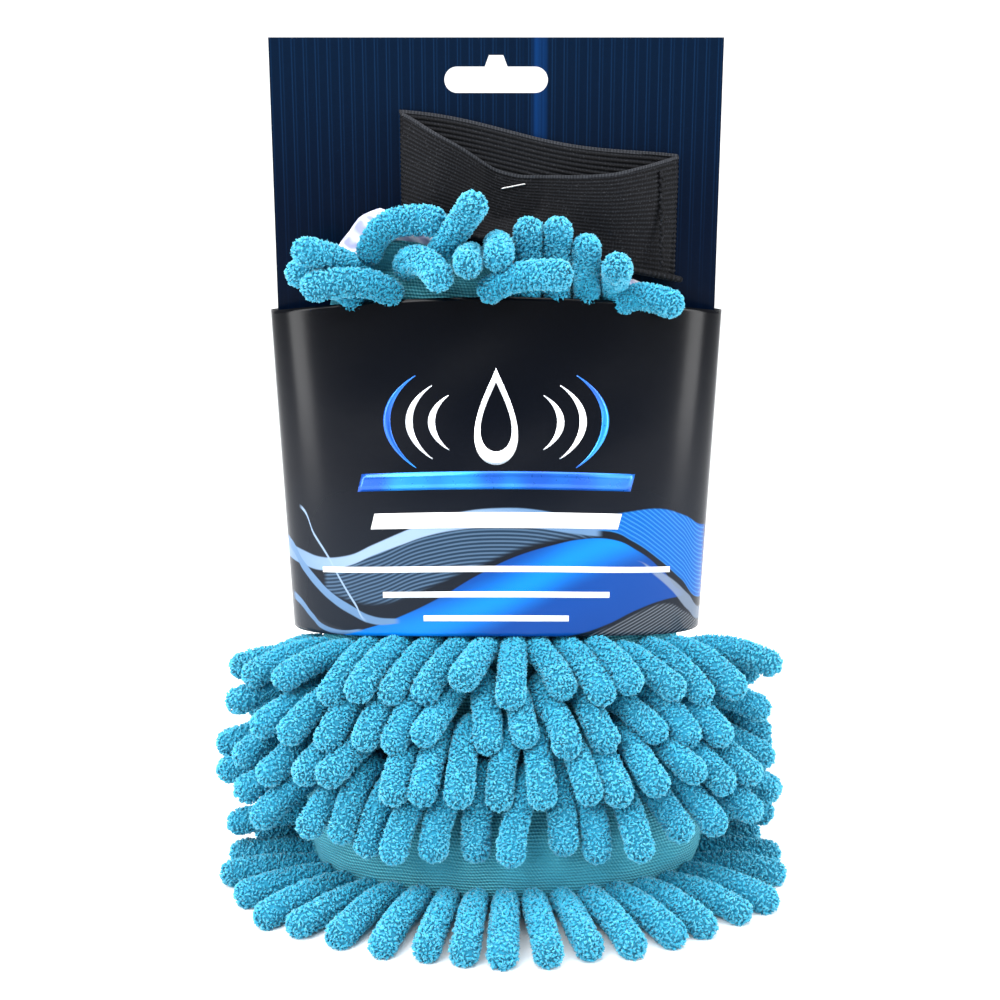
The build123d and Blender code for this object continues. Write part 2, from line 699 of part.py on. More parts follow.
def all_pieces(noodles):
    """Every piece by node name, each a shape or a list of separate shapes."""
    front, back = panels()
    pieces = {
        "backing_card": backing_card(),
        "sleeve_band": sleeve_band(),
        "band_glue_lap": band_glue_lap(),
        "staple": staple(),
        "elastic_cuff": cuff(),
        "cuff_side_seam": cuff_side_seam(),
        "cuff_join_binding": cuff_join_binding(),
        "front_panel": front,
        "back_panel": back,
        "lining_bag": lining(),
        "left_side_seam": side_seam(-1),
        "right_side_seam": side_seam(1),
        "front_pressed_noodles": pressed_noodles(True),
        "back_pressed_noodles": pressed_noodles(False),
    }
    for noodle in noodles:
        rod = capsule(noodle.root, noodle.tip, NOODLE_R)
        pieces.setdefault(noodle.group, []).append(rod)
    return pieces


def write(name, shapes, shift):
    """Write one node from one shape or a list of separate shapes, moved by shift."""
    solids = []
    for shape in shapes if isinstance(shapes, list) else [shapes]:
        solids += [Pos(*shift) * solid for solid in shape.solids()]
    whole = solids[0] if len(solids) == 1 else Compound(children=solids)
    export_step(whole, f"parts/{name}.step")


def main():
    """Build every piece and write it to its own file."""
    os.makedirs("parts", exist_ok=True)
    noodles = settle(skirt_noodles()) + crown_noodles()
    print(f"{len(noodles)} noodles, least gap {least_gap(noodles):.2f} mm")
    shift = footprint_middle(noodles) * -1
    for name, shapes in all_pieces(noodles).items():
        write(name, shapes, shift)


if __name__ == "__main__":
    main()
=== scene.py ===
"""Looks of a chenille wash mitt on its printed hanging card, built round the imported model."""

import json
import logging
import math
from dataclasses import dataclass, field
from enum import Enum
from typing import Callable

import bmesh
import bpy
import numpy as np
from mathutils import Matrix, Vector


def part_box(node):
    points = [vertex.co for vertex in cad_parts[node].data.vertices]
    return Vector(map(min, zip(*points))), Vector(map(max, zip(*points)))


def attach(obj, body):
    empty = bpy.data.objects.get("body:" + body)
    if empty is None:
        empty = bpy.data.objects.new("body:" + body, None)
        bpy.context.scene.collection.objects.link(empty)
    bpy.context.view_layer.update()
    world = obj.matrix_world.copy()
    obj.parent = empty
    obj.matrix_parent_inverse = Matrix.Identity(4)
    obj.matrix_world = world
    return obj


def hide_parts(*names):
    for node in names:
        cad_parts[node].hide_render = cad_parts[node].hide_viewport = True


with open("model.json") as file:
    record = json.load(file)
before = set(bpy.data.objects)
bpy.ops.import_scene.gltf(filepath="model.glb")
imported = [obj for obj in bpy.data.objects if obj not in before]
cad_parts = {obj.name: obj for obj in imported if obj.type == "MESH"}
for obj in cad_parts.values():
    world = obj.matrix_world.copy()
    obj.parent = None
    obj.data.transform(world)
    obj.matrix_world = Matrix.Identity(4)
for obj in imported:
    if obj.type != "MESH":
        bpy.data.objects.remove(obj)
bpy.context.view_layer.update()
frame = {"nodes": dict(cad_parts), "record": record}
LOG = logging.getLogger("wash_mitt")
MM = 0.001
ROOT = "mitt_on_card"
Array = np.ndarray


# ---------------------------------------------------------------- measuring the frame

def node_points(node: str) -> Array:
    """Give the vertices of a CAD node.

    Args:
        node: the node's name.

    Returns:
        An array of points, in metres.
    """
    mesh = frame["nodes"][node].data
    points = np.zeros(len(mesh.vertices) * 3, np.float32)
    mesh.vertices.foreach_get("co", points)
    return points.reshape(-1, 3).astype(float)


def node_triangles(node: str) -> Array:
    """Give the triangles of a CAD node as rows of three vertex numbers.

    Args:
        node: the node's name.

    Returns:
        An integer array of corners.
    """
    mesh = frame["nodes"][node].data
    mesh.calc_loop_triangles()
    corners = np.zeros(len(mesh.loop_triangles) * 3, np.int32)
    mesh.loop_triangles.foreach_get("vertices", corners)
    return corners.reshape(-1, 3)


def slice_points(node: str, height: float) -> Array:
    """Cut a CAD node with a level plane.

    Each triangle edge that crosses the plane gives one point, found by straight interpolation.

    Args:
        node: the node's name.
        height: the plane's height.

    Returns:
        The crossing points.
    """
    points = node_points(node)
    corners = node_triangles(node)
    edges = np.vstack((corners[:, (0, 1)], corners[:, (1, 2)], corners[:, (2, 0)]))
    low, high = points[edges[:, 0]], points[edges[:, 1]]
    crosses = (low[:, 2] - height) * (high[:, 2] - height) < 0
    low, high = low[crosses], high[crosses]
    share = (height - low[:, 2]) / (high[:, 2] - low[:, 2])
    return low + (high - low) * share[:, None]


def islands(node: str) -> list[Array]:
    """Split a CAD node into its separate solids.

    Vertices at the same place are joined first, then labels spread along the edges, each vertex
    taking the lowest label beside it, until none changes.

    Args:
        node: the node's name.

    Returns:
        The points of each solid.
    """
    points = node_points(node)
    corners = node_triangles(node)
    _, same = np.unique(np.round(points, 6), axis=0, return_inverse=True)
    same = same.ravel()
    ends = np.vstack((same[corners[:, :2]], same[corners[:, 1:]]))
    label = np.arange(same.max() + 1)
    while True:
        lowest = np.minimum(label[ends[:, 0]], label[ends[:, 1]])
        spread = label.copy()
        np.minimum.at(spread, ends[:, 0], lowest)
        np.minimum.at(spread, ends[:, 1], lowest)
        spread = spread[spread]
        if np.array_equal(spread, label):
            break
        label = spread
    owner = label[same]
    return [points[owner == name] for name in np.unique(owner)]


# ---------------------------------------------------------------- making meshes

def grid_faces(rows: int, columns: int, wrap: bool) -> Array:
    """Number the quads of a grid of points.

    Args:
        rows: points along the first parameter.
        columns: points along the second parameter.
        wrap: whether the last column joins the first.

    Returns:
        One row of four vertex numbers for each quad.
    """
    down = np.arange(rows - 1)[:, None]
    across = np.arange(columns if wrap else columns - 1)[None, :]
    after = (across + 1) % columns
    first = down * columns + across
    second = down * columns + after
    return np.stack((first, second, second + columns, first + columns), -1).reshape(-1, 4)


@dataclass
class Surface:
    """Points and faces of a piece on their way into a mesh."""

    points: Array
    quads: Array = field(default_factory=lambda: np.zeros((0, 4), int))
    triangles: Array = field(default_factory=lambda: np.zeros((0, 3), int))
    values: dict[str, Array] = field(default_factory=dict)

    def joined(self, other: "Surface") -> "Surface":
        """Give one surface holding this one and another, with the values that both carry."""
        shift = len(self.points)
        values = {k: np.concatenate((self.values[k], other.values[k])) for k in self.values}
        return Surface(
            np.vstack((self.points, other.points)),
            np.vstack((self.quads, other.quads + shift)),
            np.vstack((self.triangles, other.triangles + shift)),
            values,
        )

    def flipped(self) -> "Surface":
        """Give the surface with its faces turned to point the other way."""
        return Surface(self.points, self.quads[:, ::-1], self.triangles[:, ::-1], self.values)


def make_piece(
    name: str, surface: Surface, material: bpy.types.Material, smooth: bool = True,
) -> bpy.types.Object:
    """Put a surface into a new mesh object at the origin.

    Args:
        name: the piece's name.
        surface: its points, faces and point values.
        material: its finish.
        smooth: whether its faces are shaded smooth.

    Returns:
        The new object.
    """
    mesh = bpy.data.meshes.new(name)
    faces = surface.quads.tolist() + surface.triangles.tolist()
    mesh.from_pydata(surface.points.tolist(), [], faces)
    for key, values in surface.values.items():
        attribute = mesh.attributes.new(key, "FLOAT", "POINT")
        attribute.data.foreach_set("value", values.astype(np.float32))
    mesh.polygons.foreach_set("use_smooth", np.full(len(mesh.polygons), smooth))
    mesh.materials.append(material)
    mesh.update()
    piece = bpy.data.objects.new(name, mesh)
    bpy.context.scene.collection.objects.link(piece)
    return piece


def unit(vectors: Array) -> Array:
    """Scale vectors to length one along the last axis."""
    return vectors / np.maximum(np.linalg.norm(vectors, axis=-1, keepdims=True), 1e-12)


def ripple(x: Array, y: Array, z: Array, seed: float, scale: float) -> Array:
    """Smooth repeatable unevenness, a sum of five slanted sine waves of different lengths.

    Args:
        x, y, z: coordinates.
        seed: shifts the waves.
        scale: the longest wave's length.

    Returns:
        Values from about -1 to 1.
    """
    total = np.zeros(np.broadcast(x, y, z).shape)
    for step in range(5):
        turn = seed * 1.7 + step * 2.4
        pitch = 2 * math.pi / scale * (1 + 0.62 * step)
        lean = math.cos(turn), math.sin(turn), math.cos(turn * 1.3 + 1)
        phase = seed * 3.1 + step * step
        total = total + np.sin(pitch * (lean[0] * x + lean[1] * y + lean[2] * z) + phase) / (1 + 0.6 * step)
    return total / 2.4


# ---------------------------------------------------------------- finishes

class Tree:
    """A short way to write a material's nodes."""

    def __init__(self, name: str) -> None:
        """Start a material with a Principled shader.

        Args:
            name: the material's name.
        """
        self.material = bpy.data.materials.new(name)
        self.material.use_nodes = True
        self.nodes = self.material.node_tree.nodes
        self.links = self.material.node_tree.links
        self.shader = self.nodes["Principled BSDF"]

    def node(self, kind: str, settings: dict | None = None, **inputs: object) -> bpy.types.Node:
        """Add a node.

        Args:
            kind: the node type after "ShaderNode".
            settings: properties of the node itself.
            inputs: values or sockets, by input name or by i0, i1 for numbered inputs.

        Returns:
            The node.
        """
        made = self.nodes.new("ShaderNode" + kind)
        for key, value in (settings or {}).items():
            setattr(made, key, value)
        for key, value in inputs.items():
            place = int(key[1:]) if key[0] == "i" and key[1:].isdigit() else key.replace("_", " ")
            self.feed(made.inputs[place], value)
        return made

    def feed(self, socket: bpy.types.NodeSocket, value: object) -> None:
        """Link a socket into an input, or set the input to a plain value."""
        if isinstance(value, bpy.types.NodeSocket):
            self.links.new(value, socket)
        else:
            socket.default_value = value

    def math(self, operation: str, *terms: object) -> bpy.types.NodeSocket:
        """Add a Math node and give its output."""
        made = self.node("Math", {"operation": operation})
        for place, term in enumerate(terms):
            self.feed(made.inputs[place], term)
        return made.outputs[0]

    def ramp(self, factor: object, *stops: tuple[float, tuple[float, float, float]]) -> bpy.types.NodeSocket:
        """Add a colour ramp with the given stops and give its colour output."""
        made = self.node("ValToRGB")
        self.feed(made.inputs[0], factor)
        points = made.color_ramp.elements
        while len(points) < len(stops):
            points.new(0.5)
        for point, (place, colour) in zip(points, stops):
            point.position = place
            point.color = (*colour, 1)
        return made.outputs[0]

    def mix(self, factor: object, first: object, second: object, blend: str = "MIX") -> bpy.types.NodeSocket:
        """Mix two colours and give the result."""
        made = self.node("Mix", {"data_type": "RGBA", "blend_type": blend})
        for place, value in ((0, factor), (6, first), (7, second)):
            if place > 0 and isinstance(value, tuple):
                value = (*value, 1)
            self.feed(made.inputs[place], value)
        return made.outputs[2]

    def step(self, value: object, low: float, high: float) -> bpy.types.NodeSocket:
        """Rise smoothly from 0 at low to 1 at high."""
        made = self.node("MapRange", {"interpolation_type": "SMOOTHSTEP"})
        for place, item in enumerate((value, low, high, 0.0, 1.0)):
            self.feed(made.inputs[place], item)
        return made.outputs[0]

    def curve(self, share: object, points: tuple) -> bpy.types.NodeSocket:
        """Read a smooth curve through points whose coordinates both run from 0 to 1.

        Args:
            share: where to read it.
            points: pairs of place and value, in rising order of place.

        Returns:
            The value's socket.
        """
        node = self.node("FloatCurve")
        line = node.mapping.curves[0]
        line.points[0].location, line.points[1].location = points[0], points[-1]
        for place in points[1:-1]:
            line.points.new(*place)
        node.mapping.update()
        self.feed(node.inputs["Value"], share)
        return node.outputs[0]

    def noise(self, scale: float, detail: float = 2.0, place: object = None) -> bpy.types.NodeSocket:
        """Add a noise texture on object coordinates and give its value."""
        made = self.node("TexNoise")
        made.inputs["Scale"].default_value = scale
        made.inputs["Detail"].default_value = detail
        self.links.new(place or self.place(), made.inputs["Vector"])
        return made.outputs[0]

    def place(self) -> bpy.types.NodeSocket:
        """Object coordinates."""
        return self.node("TexCoord").outputs["Object"]

    def split(self) -> tuple[bpy.types.NodeSocket, ...]:
        """Object coordinates as separate x, y and z sockets."""
        made = self.node("SeparateXYZ")
        self.links.new(self.place(), made.inputs[0])
        return tuple(made.outputs)

    def attribute(self, name: str) -> bpy.types.NodeSocket:
        """A piece's own point value."""
        return self.node("Attribute", {"attribute_name": name}).outputs["Fac"]

    def bump(self, height: object, strength: float, distance: float) -> None:
        """Give the shader a bump from a height."""
        made = self.node("Bump")
        made.inputs["Strength"].default_value = strength
        made.inputs["Distance"].default_value = distance
        self.feed(made.inputs["Height"], height)
        self.links.new(made.outputs[0], self.shader.inputs["Normal"])

    def shade(self, **values: object) -> bpy.types.Material:
        """Set or link the shader's inputs and give the finished material."""
        for key, value in values.items():
            if isinstance(value, tuple) and len(value) == 3:
                value = (*value, 1)
            self.feed(self.shader.inputs[key.replace("_", " ")], value)
        return self.material


@dataclass(frozen=True)
class Chenille:
    """Cut microfibre pile, with painted shade down between the tufts and a painted highlight on their tips.
    """

    deep: tuple = (0.004, 0.10, 0.17)
    body: tuple = (0.018, 0.34, 0.53)
    tip: tuple = (0.20, 0.68, 0.84)

    def material(self) -> bpy.types.Material:
        """Build the finish from each tuft's height value and two noises; the height value paints shade low
        down and a highlight at the tips.
        """
        tree = Tree("chenille_pile")
        height = tree.attribute("pile")
        uneven = tree.noise(900.0, 2.0)
        lifted = tree.math("ADD", height, tree.math("MULTIPLY", tree.math("SUBTRACT", uneven, 0.5), 0.2))
        # Painted light: the ramp paints shade where the pile value is low, between the tufts and on the bare
        # core, and a highlight on the tuft tips.
        colour = tree.ramp(lifted, (0.0, self.deep), (0.5, self.body), (1.0, self.tip))
        patch = tree.step(tree.noise(60.0, 1.0), 0.3, 0.7)
        colour = tree.mix(tree.math("MULTIPLY", patch, 0.25), colour, (0.03, 0.42, 0.66))
        tree.bump(tree.noise(2600.0, 2.0), 0.35, 0.0003)
        return tree.shade(
            Base_Color=colour,
            Roughness=0.82,
            Sheen_Weight=0.35,
            Sheen_Roughness=0.45,
            Sheen_Tint=(0.55, 0.88, 1.0),
            Specular_IOR_Level=0.25,
        )


@dataclass(frozen=True)
class BaseKnit:
    """Fine open-ribbed knit that the noodles are sewn to, with painted shade in the grooves between its
    stitches.
    """

    dark: tuple = (0.004, 0.12, 0.17)
    light: tuple = (0.14, 0.52, 0.62)
    pitch: float = 1.05 * MM

    def material(self) -> bpy.types.Material:
        """Build the knit from two crossed sine patterns on the piece's own run and girth values; the same
        pattern darkens the colour in its hollows as painted shade and lightens it on its crests as a painted
        highlight.
        """
        tree = Tree("base_knit")
        across = tree.math("MULTIPLY", tree.attribute("girth"), 2 * math.pi / self.pitch)
        along = tree.math("MULTIPLY", tree.attribute("run"), 2 * math.pi / self.pitch)
        warp = tree.math("MULTIPLY", tree.noise(160.0, 1.0), 3.0)
        rows = tree.math("SINE", tree.math("ADD", along, warp))
        columns = tree.math(
            "SINE", tree.math("ADD", tree.math("ADD", across, tree.math("MULTIPLY", along, 0.5)), warp),
        )
        weave = tree.math("ADD", tree.math("MULTIPLY", rows, 0.32), tree.math("MULTIPLY", columns, 0.18))
        weave = tree.math("ADD", weave, 0.5)
        # Painted light: low weave values, the grooves, take the dark colour as painted shade, and crests
        # take the light one as a painted highlight.
        colour = tree.ramp(weave, (0.12, self.dark), (0.55, (0.03, 0.33, 0.42)), (0.95, self.light))
        colour = tree.mix(tree.step(tree.noise(45.0), 0.35, 0.75), colour, (0.02, 0.26, 0.36))
        tree.bump(weave, 0.8, 0.0005)
        return tree.shade(Base_Color=colour, Roughness=0.75, Sheen_Weight=0.15, Sheen_Tint=(0.6, 0.9, 1.0))


@dataclass(frozen=True)
class Elastic:
    """Black ribbed knitted elastic with fine crossing stitches, with painted shade between the ribs, painted
    highlights on their crests and rim, and painted glints.
    """

    dark: tuple = (0.0018, 0.002, 0.0027)
    light: tuple = (0.010, 0.011, 0.014)
    edge: tuple = (0.040, 0.043, 0.050)
    stitch: float = 1.0 * MM

    def material(self) -> bpy.types.Material:
        """Build the finish from the rib height value crossed by a fine stitch wave; low values paint shade,
        high values paint highlights, and the highest, at the rim, a paler painted highlight.
        """
        tree = Tree("elastic_rib")
        rib = tree.attribute("rib")
        across = tree.math("MULTIPLY", tree.attribute("girth"), 2 * math.pi / self.stitch)
        stitch = tree.math("MULTIPLY", tree.math("ADD", tree.math("SINE", across), 1.0), 0.5)
        level = tree.math("MULTIPLY", rib, tree.math("ADD", tree.math("MULTIPLY", stitch, 0.3), 0.7))
        level = tree.math(
            "ADD", level, tree.math("MULTIPLY", tree.math("SUBTRACT", tree.noise(700.0), 0.5), 0.35),
        )
        # Painted light: low rib values take the dark colour as painted shade between the ribs, higher ones
        # the light colour as a painted highlight on their crests, and the rim rows the edge colour as a
        # paler painted highlight.
        colour = tree.ramp(
            tree.math("MULTIPLY", level, 0.5), (0.1, self.dark), (0.45, self.light), (0.8, self.edge),
        )
        # Painted glints: small light grey specks from a fine noise.
        painted_glint = tree.step(tree.noise(2100.0, 0.0), 0.70, 0.76)
        colour = tree.mix(tree.math("MULTIPLY", painted_glint, 0.35), colour, (0.05, 0.053, 0.06))
        tree.bump(level, 0.7, 0.0004)
        return tree.shade(Base_Color=colour, Roughness=0.75, Specular_IOR_Level=0.12)


@dataclass(frozen=True)
class LiningSatin:
    """Pale smooth woven lining with a slight sheen and creases, with painted shade in the creases and a
    painted highlight on their crests.
    """

    body: tuple = (0.60, 0.62, 0.78)
    painted_crease_shade: tuple = (0.36, 0.37, 0.56)

    def material(self) -> bpy.types.Material:
        """Build the finish from a fine weave bump and painted crease shading, darker in the creases and
        paler on their crests.
        """
        tree = Tree("lining_satin")
        crease = tree.node("TexWave", {"wave_type": "BANDS", "bands_direction": "DIAGONAL"})
        crease.inputs["Scale"].default_value = 120.0
        crease.inputs["Distortion"].default_value = 6.0
        tree.links.new(tree.place(), crease.inputs["Vector"])
        # Painted light: the crease bands paint shade in the folds and a highlight on their crests.
        colour = tree.ramp(
            crease.outputs["Fac"], (0.1, self.painted_crease_shade), (0.6, self.body), (1.0, (0.8, 0.81, 0.92)),
        )
        weave = tree.math("ADD", crease.outputs["Fac"], tree.math("MULTIPLY", tree.noise(2400.0), 0.2))
        tree.bump(weave, 0.5, 0.0005)
        return tree.shade(
            Base_Color=colour, Roughness=0.38, Sheen_Weight=0.3, Coat_Weight=0.15, Coat_Roughness=0.4,
        )


@dataclass(frozen=True)
class StripedCard:
    """Glossy navy card with fine paired upright stripes that fade downwards, and a painted blue reflection
    near the top middle.
    """

    ground: tuple = (0.0008, 0.0035, 0.012)
    line: tuple = (0.004, 0.018, 0.055)
    painted_reflection: tuple = (0.003, 0.030, 0.13)
    pitch: float = 3.65 * MM
    top: float = 0.267
    front: float = 0.0

    def material(self) -> bpy.types.Material:
        """Build the print from x for the stripes and z for their fading, with a painted reflection near the
        top middle; the back is bare board.
        """
        tree = Tree("striped_card")
        x, y, z = tree.split()
        phase = tree.math("FRACT", tree.math("DIVIDE", tree.math("ADD", x, 1.0), self.pitch))
        first = tree.math("LESS_THAN", tree.math("ABSOLUTE", tree.math("SUBTRACT", phase, 0.32)), 0.05)
        second = tree.math("LESS_THAN", tree.math("ABSOLUTE", tree.math("SUBTRACT", phase, 0.58)), 0.05)
        lines = tree.math("MAXIMUM", first, tree.math("MULTIPLY", second, 0.6))
        flat = tree.node("CombineXYZ")
        tree.links.new(x, flat.inputs[0])
        # Painted reflection: a noise along x, kept near the middle and towards the top, brightens the card
        # to a pale blue.
        band = tree.noise(130.0, 3.0, flat.outputs[0])
        fade = tree.step(z, self.top - 0.085, self.top)
        weight = tree.math("MULTIPLY", lines, tree.math("ADD", tree.math("MULTIPLY", fade, 0.6), 0.08))
        colour = tree.mix(weight, self.ground, self.line)
        centre = tree.math(
            "SUBTRACT", 1.0, tree.step(tree.math("ABSOLUTE", tree.math("SUBTRACT", x, 0.006)), 0.003, 0.017),
        )
        glow = tree.math("MULTIPLY", tree.step(band, 0.5, 0.68), tree.math("MULTIPLY", centre, fade))
        colour = tree.mix(glow, colour, self.painted_reflection)
        wash = tree.math("MULTIPLY", tree.step(z, self.top - 0.06, self.top), 0.3)
        colour = tree.mix(wash, colour, (0.002, 0.012, 0.034))
        board = tree.mix(tree.noise(800.0), (0.50, 0.49, 0.46), (0.62, 0.61, 0.58))
        back = tree.math("GREATER_THAN", y, self.front + 0.35 * MM)
        colour = tree.mix(back, colour, board)
        tree.bump(tree.noise(260.0), 0.06, 0.0004)
        rough = tree.math("ADD", 0.2, tree.math("MULTIPLY", back, 0.4))
        return tree.shade(Base_Color=colour, Roughness=rough, Specular_IOR_Level=0.09)


@dataclass(frozen=True)
class WavePrint:
    """Glossy black print with steel-blue and bright blue waves over its lower part."""

    low: float = 0.077
    high: float = 0.190
    middle: float = 0.0
    half: float = 74.0
    tall: float = 64.0

    def ribbon(
        self, tree: Tree, x: object, z: object, over: tuple, under: tuple, soft: float,
    ) -> bpy.types.NodeSocket:
        """Mask a ribbon between two curves, each a table of millimetres from the middle and up.

        The ribbon ends where its tables end, and its edges come in over a short distance.

        Args:
            tree: the material being built.
            x, z: shares of the print's width and height.
            over, under: the ribbon's upper and lower line.
            soft: distance over which its edges come in, in millimetres.

        Returns:
            A socket that is 1 on the ribbon and 0 off it.
        """
        width = soft / self.tall
        above = tree.step(tree.math("SUBTRACT", z, tree.curve(x, self.shares(under))), 0.0, width)
        below = tree.step(tree.math("SUBTRACT", tree.curve(x, self.shares(over)), z), 0.0, width)
        ends = [(over[k][0] + self.half) / (2 * self.half) for k in (0, -1)]
        start = tree.step(x, ends[0], ends[0] + 0.012)
        stop = tree.step(tree.math("SUBTRACT", ends[1], x), 0.0, 0.02)
        return tree.math("MULTIPLY", tree.math("MULTIPLY", above, below), tree.math("MULTIPLY", start, stop))

    def material(self) -> bpy.types.Material:
        """Build the print as ribbons, each between two curves, with fine contour lines on some."""
        tree = Tree("wave_print")
        place_x, _, place_z = tree.split()
        across = tree.math("SUBTRACT", place_x, self.middle - self.half * MM)
        x = tree.math("DIVIDE", across, 2 * self.half * MM)
        z = tree.math("DIVIDE", tree.math("SUBTRACT", place_z, self.low), self.tall * MM)
        high = tree.math("SUBTRACT", place_z, self.low)
        share = tree.math("DIVIDE", high, self.high - self.low)
        colour = tree.ramp(
            share, (0.0, (0.004, 0.009, 0.018)), (0.5, (0.0014, 0.0026, 0.006)),
            (1.0, (0.0008, 0.0011, 0.002)),
        )
        steel, pale, bright = (0.10, 0.19, 0.33), (0.24, 0.34, 0.48), (0.0012, 0.17, 0.62)
        # Dark grey patches low on the left.
        patch = self.ribbon(tree, x, z, ((-70, 12), (-50, 6), (-30, 7)), ((-70, 0), (-50, 0), (-30, 0)), 1.5)
        colour = tree.mix(tree.math("MULTIPLY", patch, 0.8), colour, (0.018, 0.024, 0.034))
        # Contour lines under the pale arc.
        field_top = ((-56, 27), (-39, 33), (-21, 41), (0, 44), (24, 41), (34, 37))
        field_low = ((-56, 16), (-40, 14), (-21, 21), (-6, 28), (18, 36), (34, 36))
        zone = self.ribbon(tree, x, z, field_top, field_low, 2.0)
        run = tree.math("SUBTRACT", z, tree.curve(x, self.shares(field_top)))
        lines = tree.math("SINE", tree.math("MULTIPLY", run, 2 * math.pi * self.tall / 1.25))
        striped = tree.mix(tree.step(lines, -0.3, 0.6), (0.012, 0.030, 0.060), (0.060, 0.115, 0.19))
        colour = tree.mix(tree.math("MULTIPLY", zone, 0.85), colour, striped)
        # The wide blue wave, brightest along a beam that rises to the right.
        wave_top = (
            (-50, 4), (-41, 7), (-30, 12), (-18, 18.5), (-6, 26), (6, 32), (18, 35.5), (27, 37), (36, 36.5),
            (45, 32), (54, 24), (62, 16),
        )
        wave_low = (
            (-50, 1), (-41, 2), (-30, 3), (-18, 3), (-6, 3), (6, 4), (18, 5), (27, 6), (36, 8.5), (45, 12),
            (54, 14), (62, 14),
        )
        wave = self.ribbon(tree, x, z, wave_top, wave_low, 0.5)
        beam = ((-50, 2), (-30, 6), (-6, 15), (12, 24), (30, 33), (62, 40))
        off = tree.math("ABSOLUTE", tree.math("SUBTRACT", z, tree.curve(x, self.shares(beam))))
        glow = tree.math("SUBTRACT", 1.0, tree.step(off, 0.0, 11.0 / self.tall))
        blues = tree.mix(glow, (0.0012, 0.045, 0.24), bright)
        colour = tree.mix(wave, colour, blues)
        # A second hill on the right, with fine curved lines over it.
        hill_top = ((28, 40), (36, 44), (43, 45), (52, 45), (60, 42), (70, 36))
        hill_low = ((28, 39), (36, 38.5), (43, 35), (52, 28), (60, 20), (70, 10))
        hill = self.ribbon(tree, x, z, hill_top, hill_low, 0.6)
        run = tree.math("SUBTRACT", z, tree.curve(x, self.shares(hill_low)))
        lines = tree.math("SINE", tree.math("MULTIPLY", run, 2 * math.pi * self.tall / 1.5))
        striped = tree.mix(tree.step(lines, 0.2, 0.8), (0.0015, 0.085, 0.36), (0.02, 0.17, 0.46))
        colour = tree.mix(hill, colour, striped)
        # Pale steel arc over the left and the middle, and the steel sweep below it.
        arc_top = (
            (-72, 31), (-63, 29.5), (-57, 28.5), (-48, 30), (-39, 34.5), (-30, 39), (-21, 43), (-12, 46),
            (0, 47.5), (12, 47), (24, 44), (34, 40),
        )
        arc_low = (
            (-72, 25), (-63, 24), (-57, 23.5), (-48, 26), (-39, 30.5), (-30, 34.5), (-21, 38), (-12, 40),
            (0, 41), (12, 40.5), (24, 38.5), (34, 37),
        )
        arc = self.ribbon(tree, x, z, arc_top, arc_low, 0.6)
        shine = tree.math(
            "SUBTRACT", 1.0, tree.step(tree.math("ABSOLUTE", tree.math("SUBTRACT", x, 0.28)), 0.05, 0.32),
        )
        colour = tree.mix(arc, colour, tree.mix(shine, steel, pale))
        sweep_top = ((-70, 33), (-63, 26), (-59, 22), (-53, 17), (-47, 14), (-39, 11), (-30, 11))
        sweep_low = ((-70, 29), (-63, 22), (-59, 18), (-53, 13.5), (-47, 10.5), (-39, 8), (-30, 9))
        colour = tree.mix(self.ribbon(tree, x, z, sweep_top, sweep_low, 0.5), colour, steel)
        foot_top = ((-68, 14), (-60, 8.5), (-57, 6), (-51, 5), (-42, 6.5))
        foot_low = ((-68, 11), (-60, 6), (-57, 3.8), (-51, 3.2), (-42, 5.5))
        colour = tree.mix(self.ribbon(tree, x, z, foot_top, foot_low, 0.4), colour, steel)
        # One thin pale line across the left, and a pale chevron on the right.
        thin_top = ((-64, 44.8), (-59, 36.6), (-54, 29.4), (-50, 22.4), (-45, 14.7), (-41, 9.5))
        thin_low = ((-64, 43.2), (-59, 35.0), (-54, 27.8), (-50, 20.8), (-45, 13.1), (-41, 8.0))
        colour = tree.mix(self.ribbon(tree, x, z, thin_top, thin_low, 0.5), colour, pale)
        tick_top = ((44, 29), (50, 26), (57, 21), (63, 14.5), (70, 7))
        tick_low = ((44, 28.5), (50, 23.5), (57, 16.5), (63, 8.5), (70, 2))
        colour = tree.mix(
            tree.math("MULTIPLY", self.ribbon(tree, x, z, tick_top, tick_low, 0.7), 0.8), colour,
            (0.17, 0.22, 0.30),
        )
        # Fine light lines over the lower right corner.
        corner_top = ((26, 5.5), (36, 8), (45, 11.5), (54, 13.5), (62, 9), (70, 3))
        corner = self.ribbon(tree, x, z, corner_top, ((26, 0), (45, 0), (70, 0)), 1.2)
        run = tree.math("SUBTRACT", high, tree.math("MULTIPLY", across, 0.45))
        lines = tree.math("SINE", tree.math("MULTIPLY", run, 2 * math.pi / (1.1 * MM)))
        grey = tree.mix(tree.step(lines, 0.0, 0.8), (0.016, 0.021, 0.029), (0.13, 0.15, 0.18))
        colour = tree.mix(tree.math("MULTIPLY", corner, 0.85), colour, grey)
        tree.bump(tree.noise(120.0), 0.05, 0.0006)
        return tree.shade(Base_Color=colour, Roughness=0.2, Specular_IOR_Level=0.14)

    def shares(self, line: tuple) -> tuple:
        """Turn a table of millimetres into shares of the print's width and height, to both ends."""
        first, last = line[0], line[-1]
        full = ((-self.half, first[1]), *line, (self.half, last[1]))
        return tuple(((a + self.half) / (2 * self.half), b / self.tall) for a, b in full)


@dataclass(frozen=True)
class Ink:
    """Printed or foil-blocked shape on the band."""

    name: str
    colour: tuple
    second: tuple
    metallic: float = 0.0

    def material(self) -> bpy.types.Material:
        """Build the finish as a slow change between two colours along x and z."""
        tree = Tree(self.name)
        blendness = tree.step(tree.noise(38.0, 1.5), 0.38, 0.62)
        colour = tree.mix(blendness, self.colour, self.second)
        rough = tree.math("ADD", 0.24, tree.math("MULTIPLY", tree.noise(500.0), 0.1))
        return tree.shade(Base_Color=colour, Roughness=rough, Metallic=self.metallic, Coat_Weight=0.3)


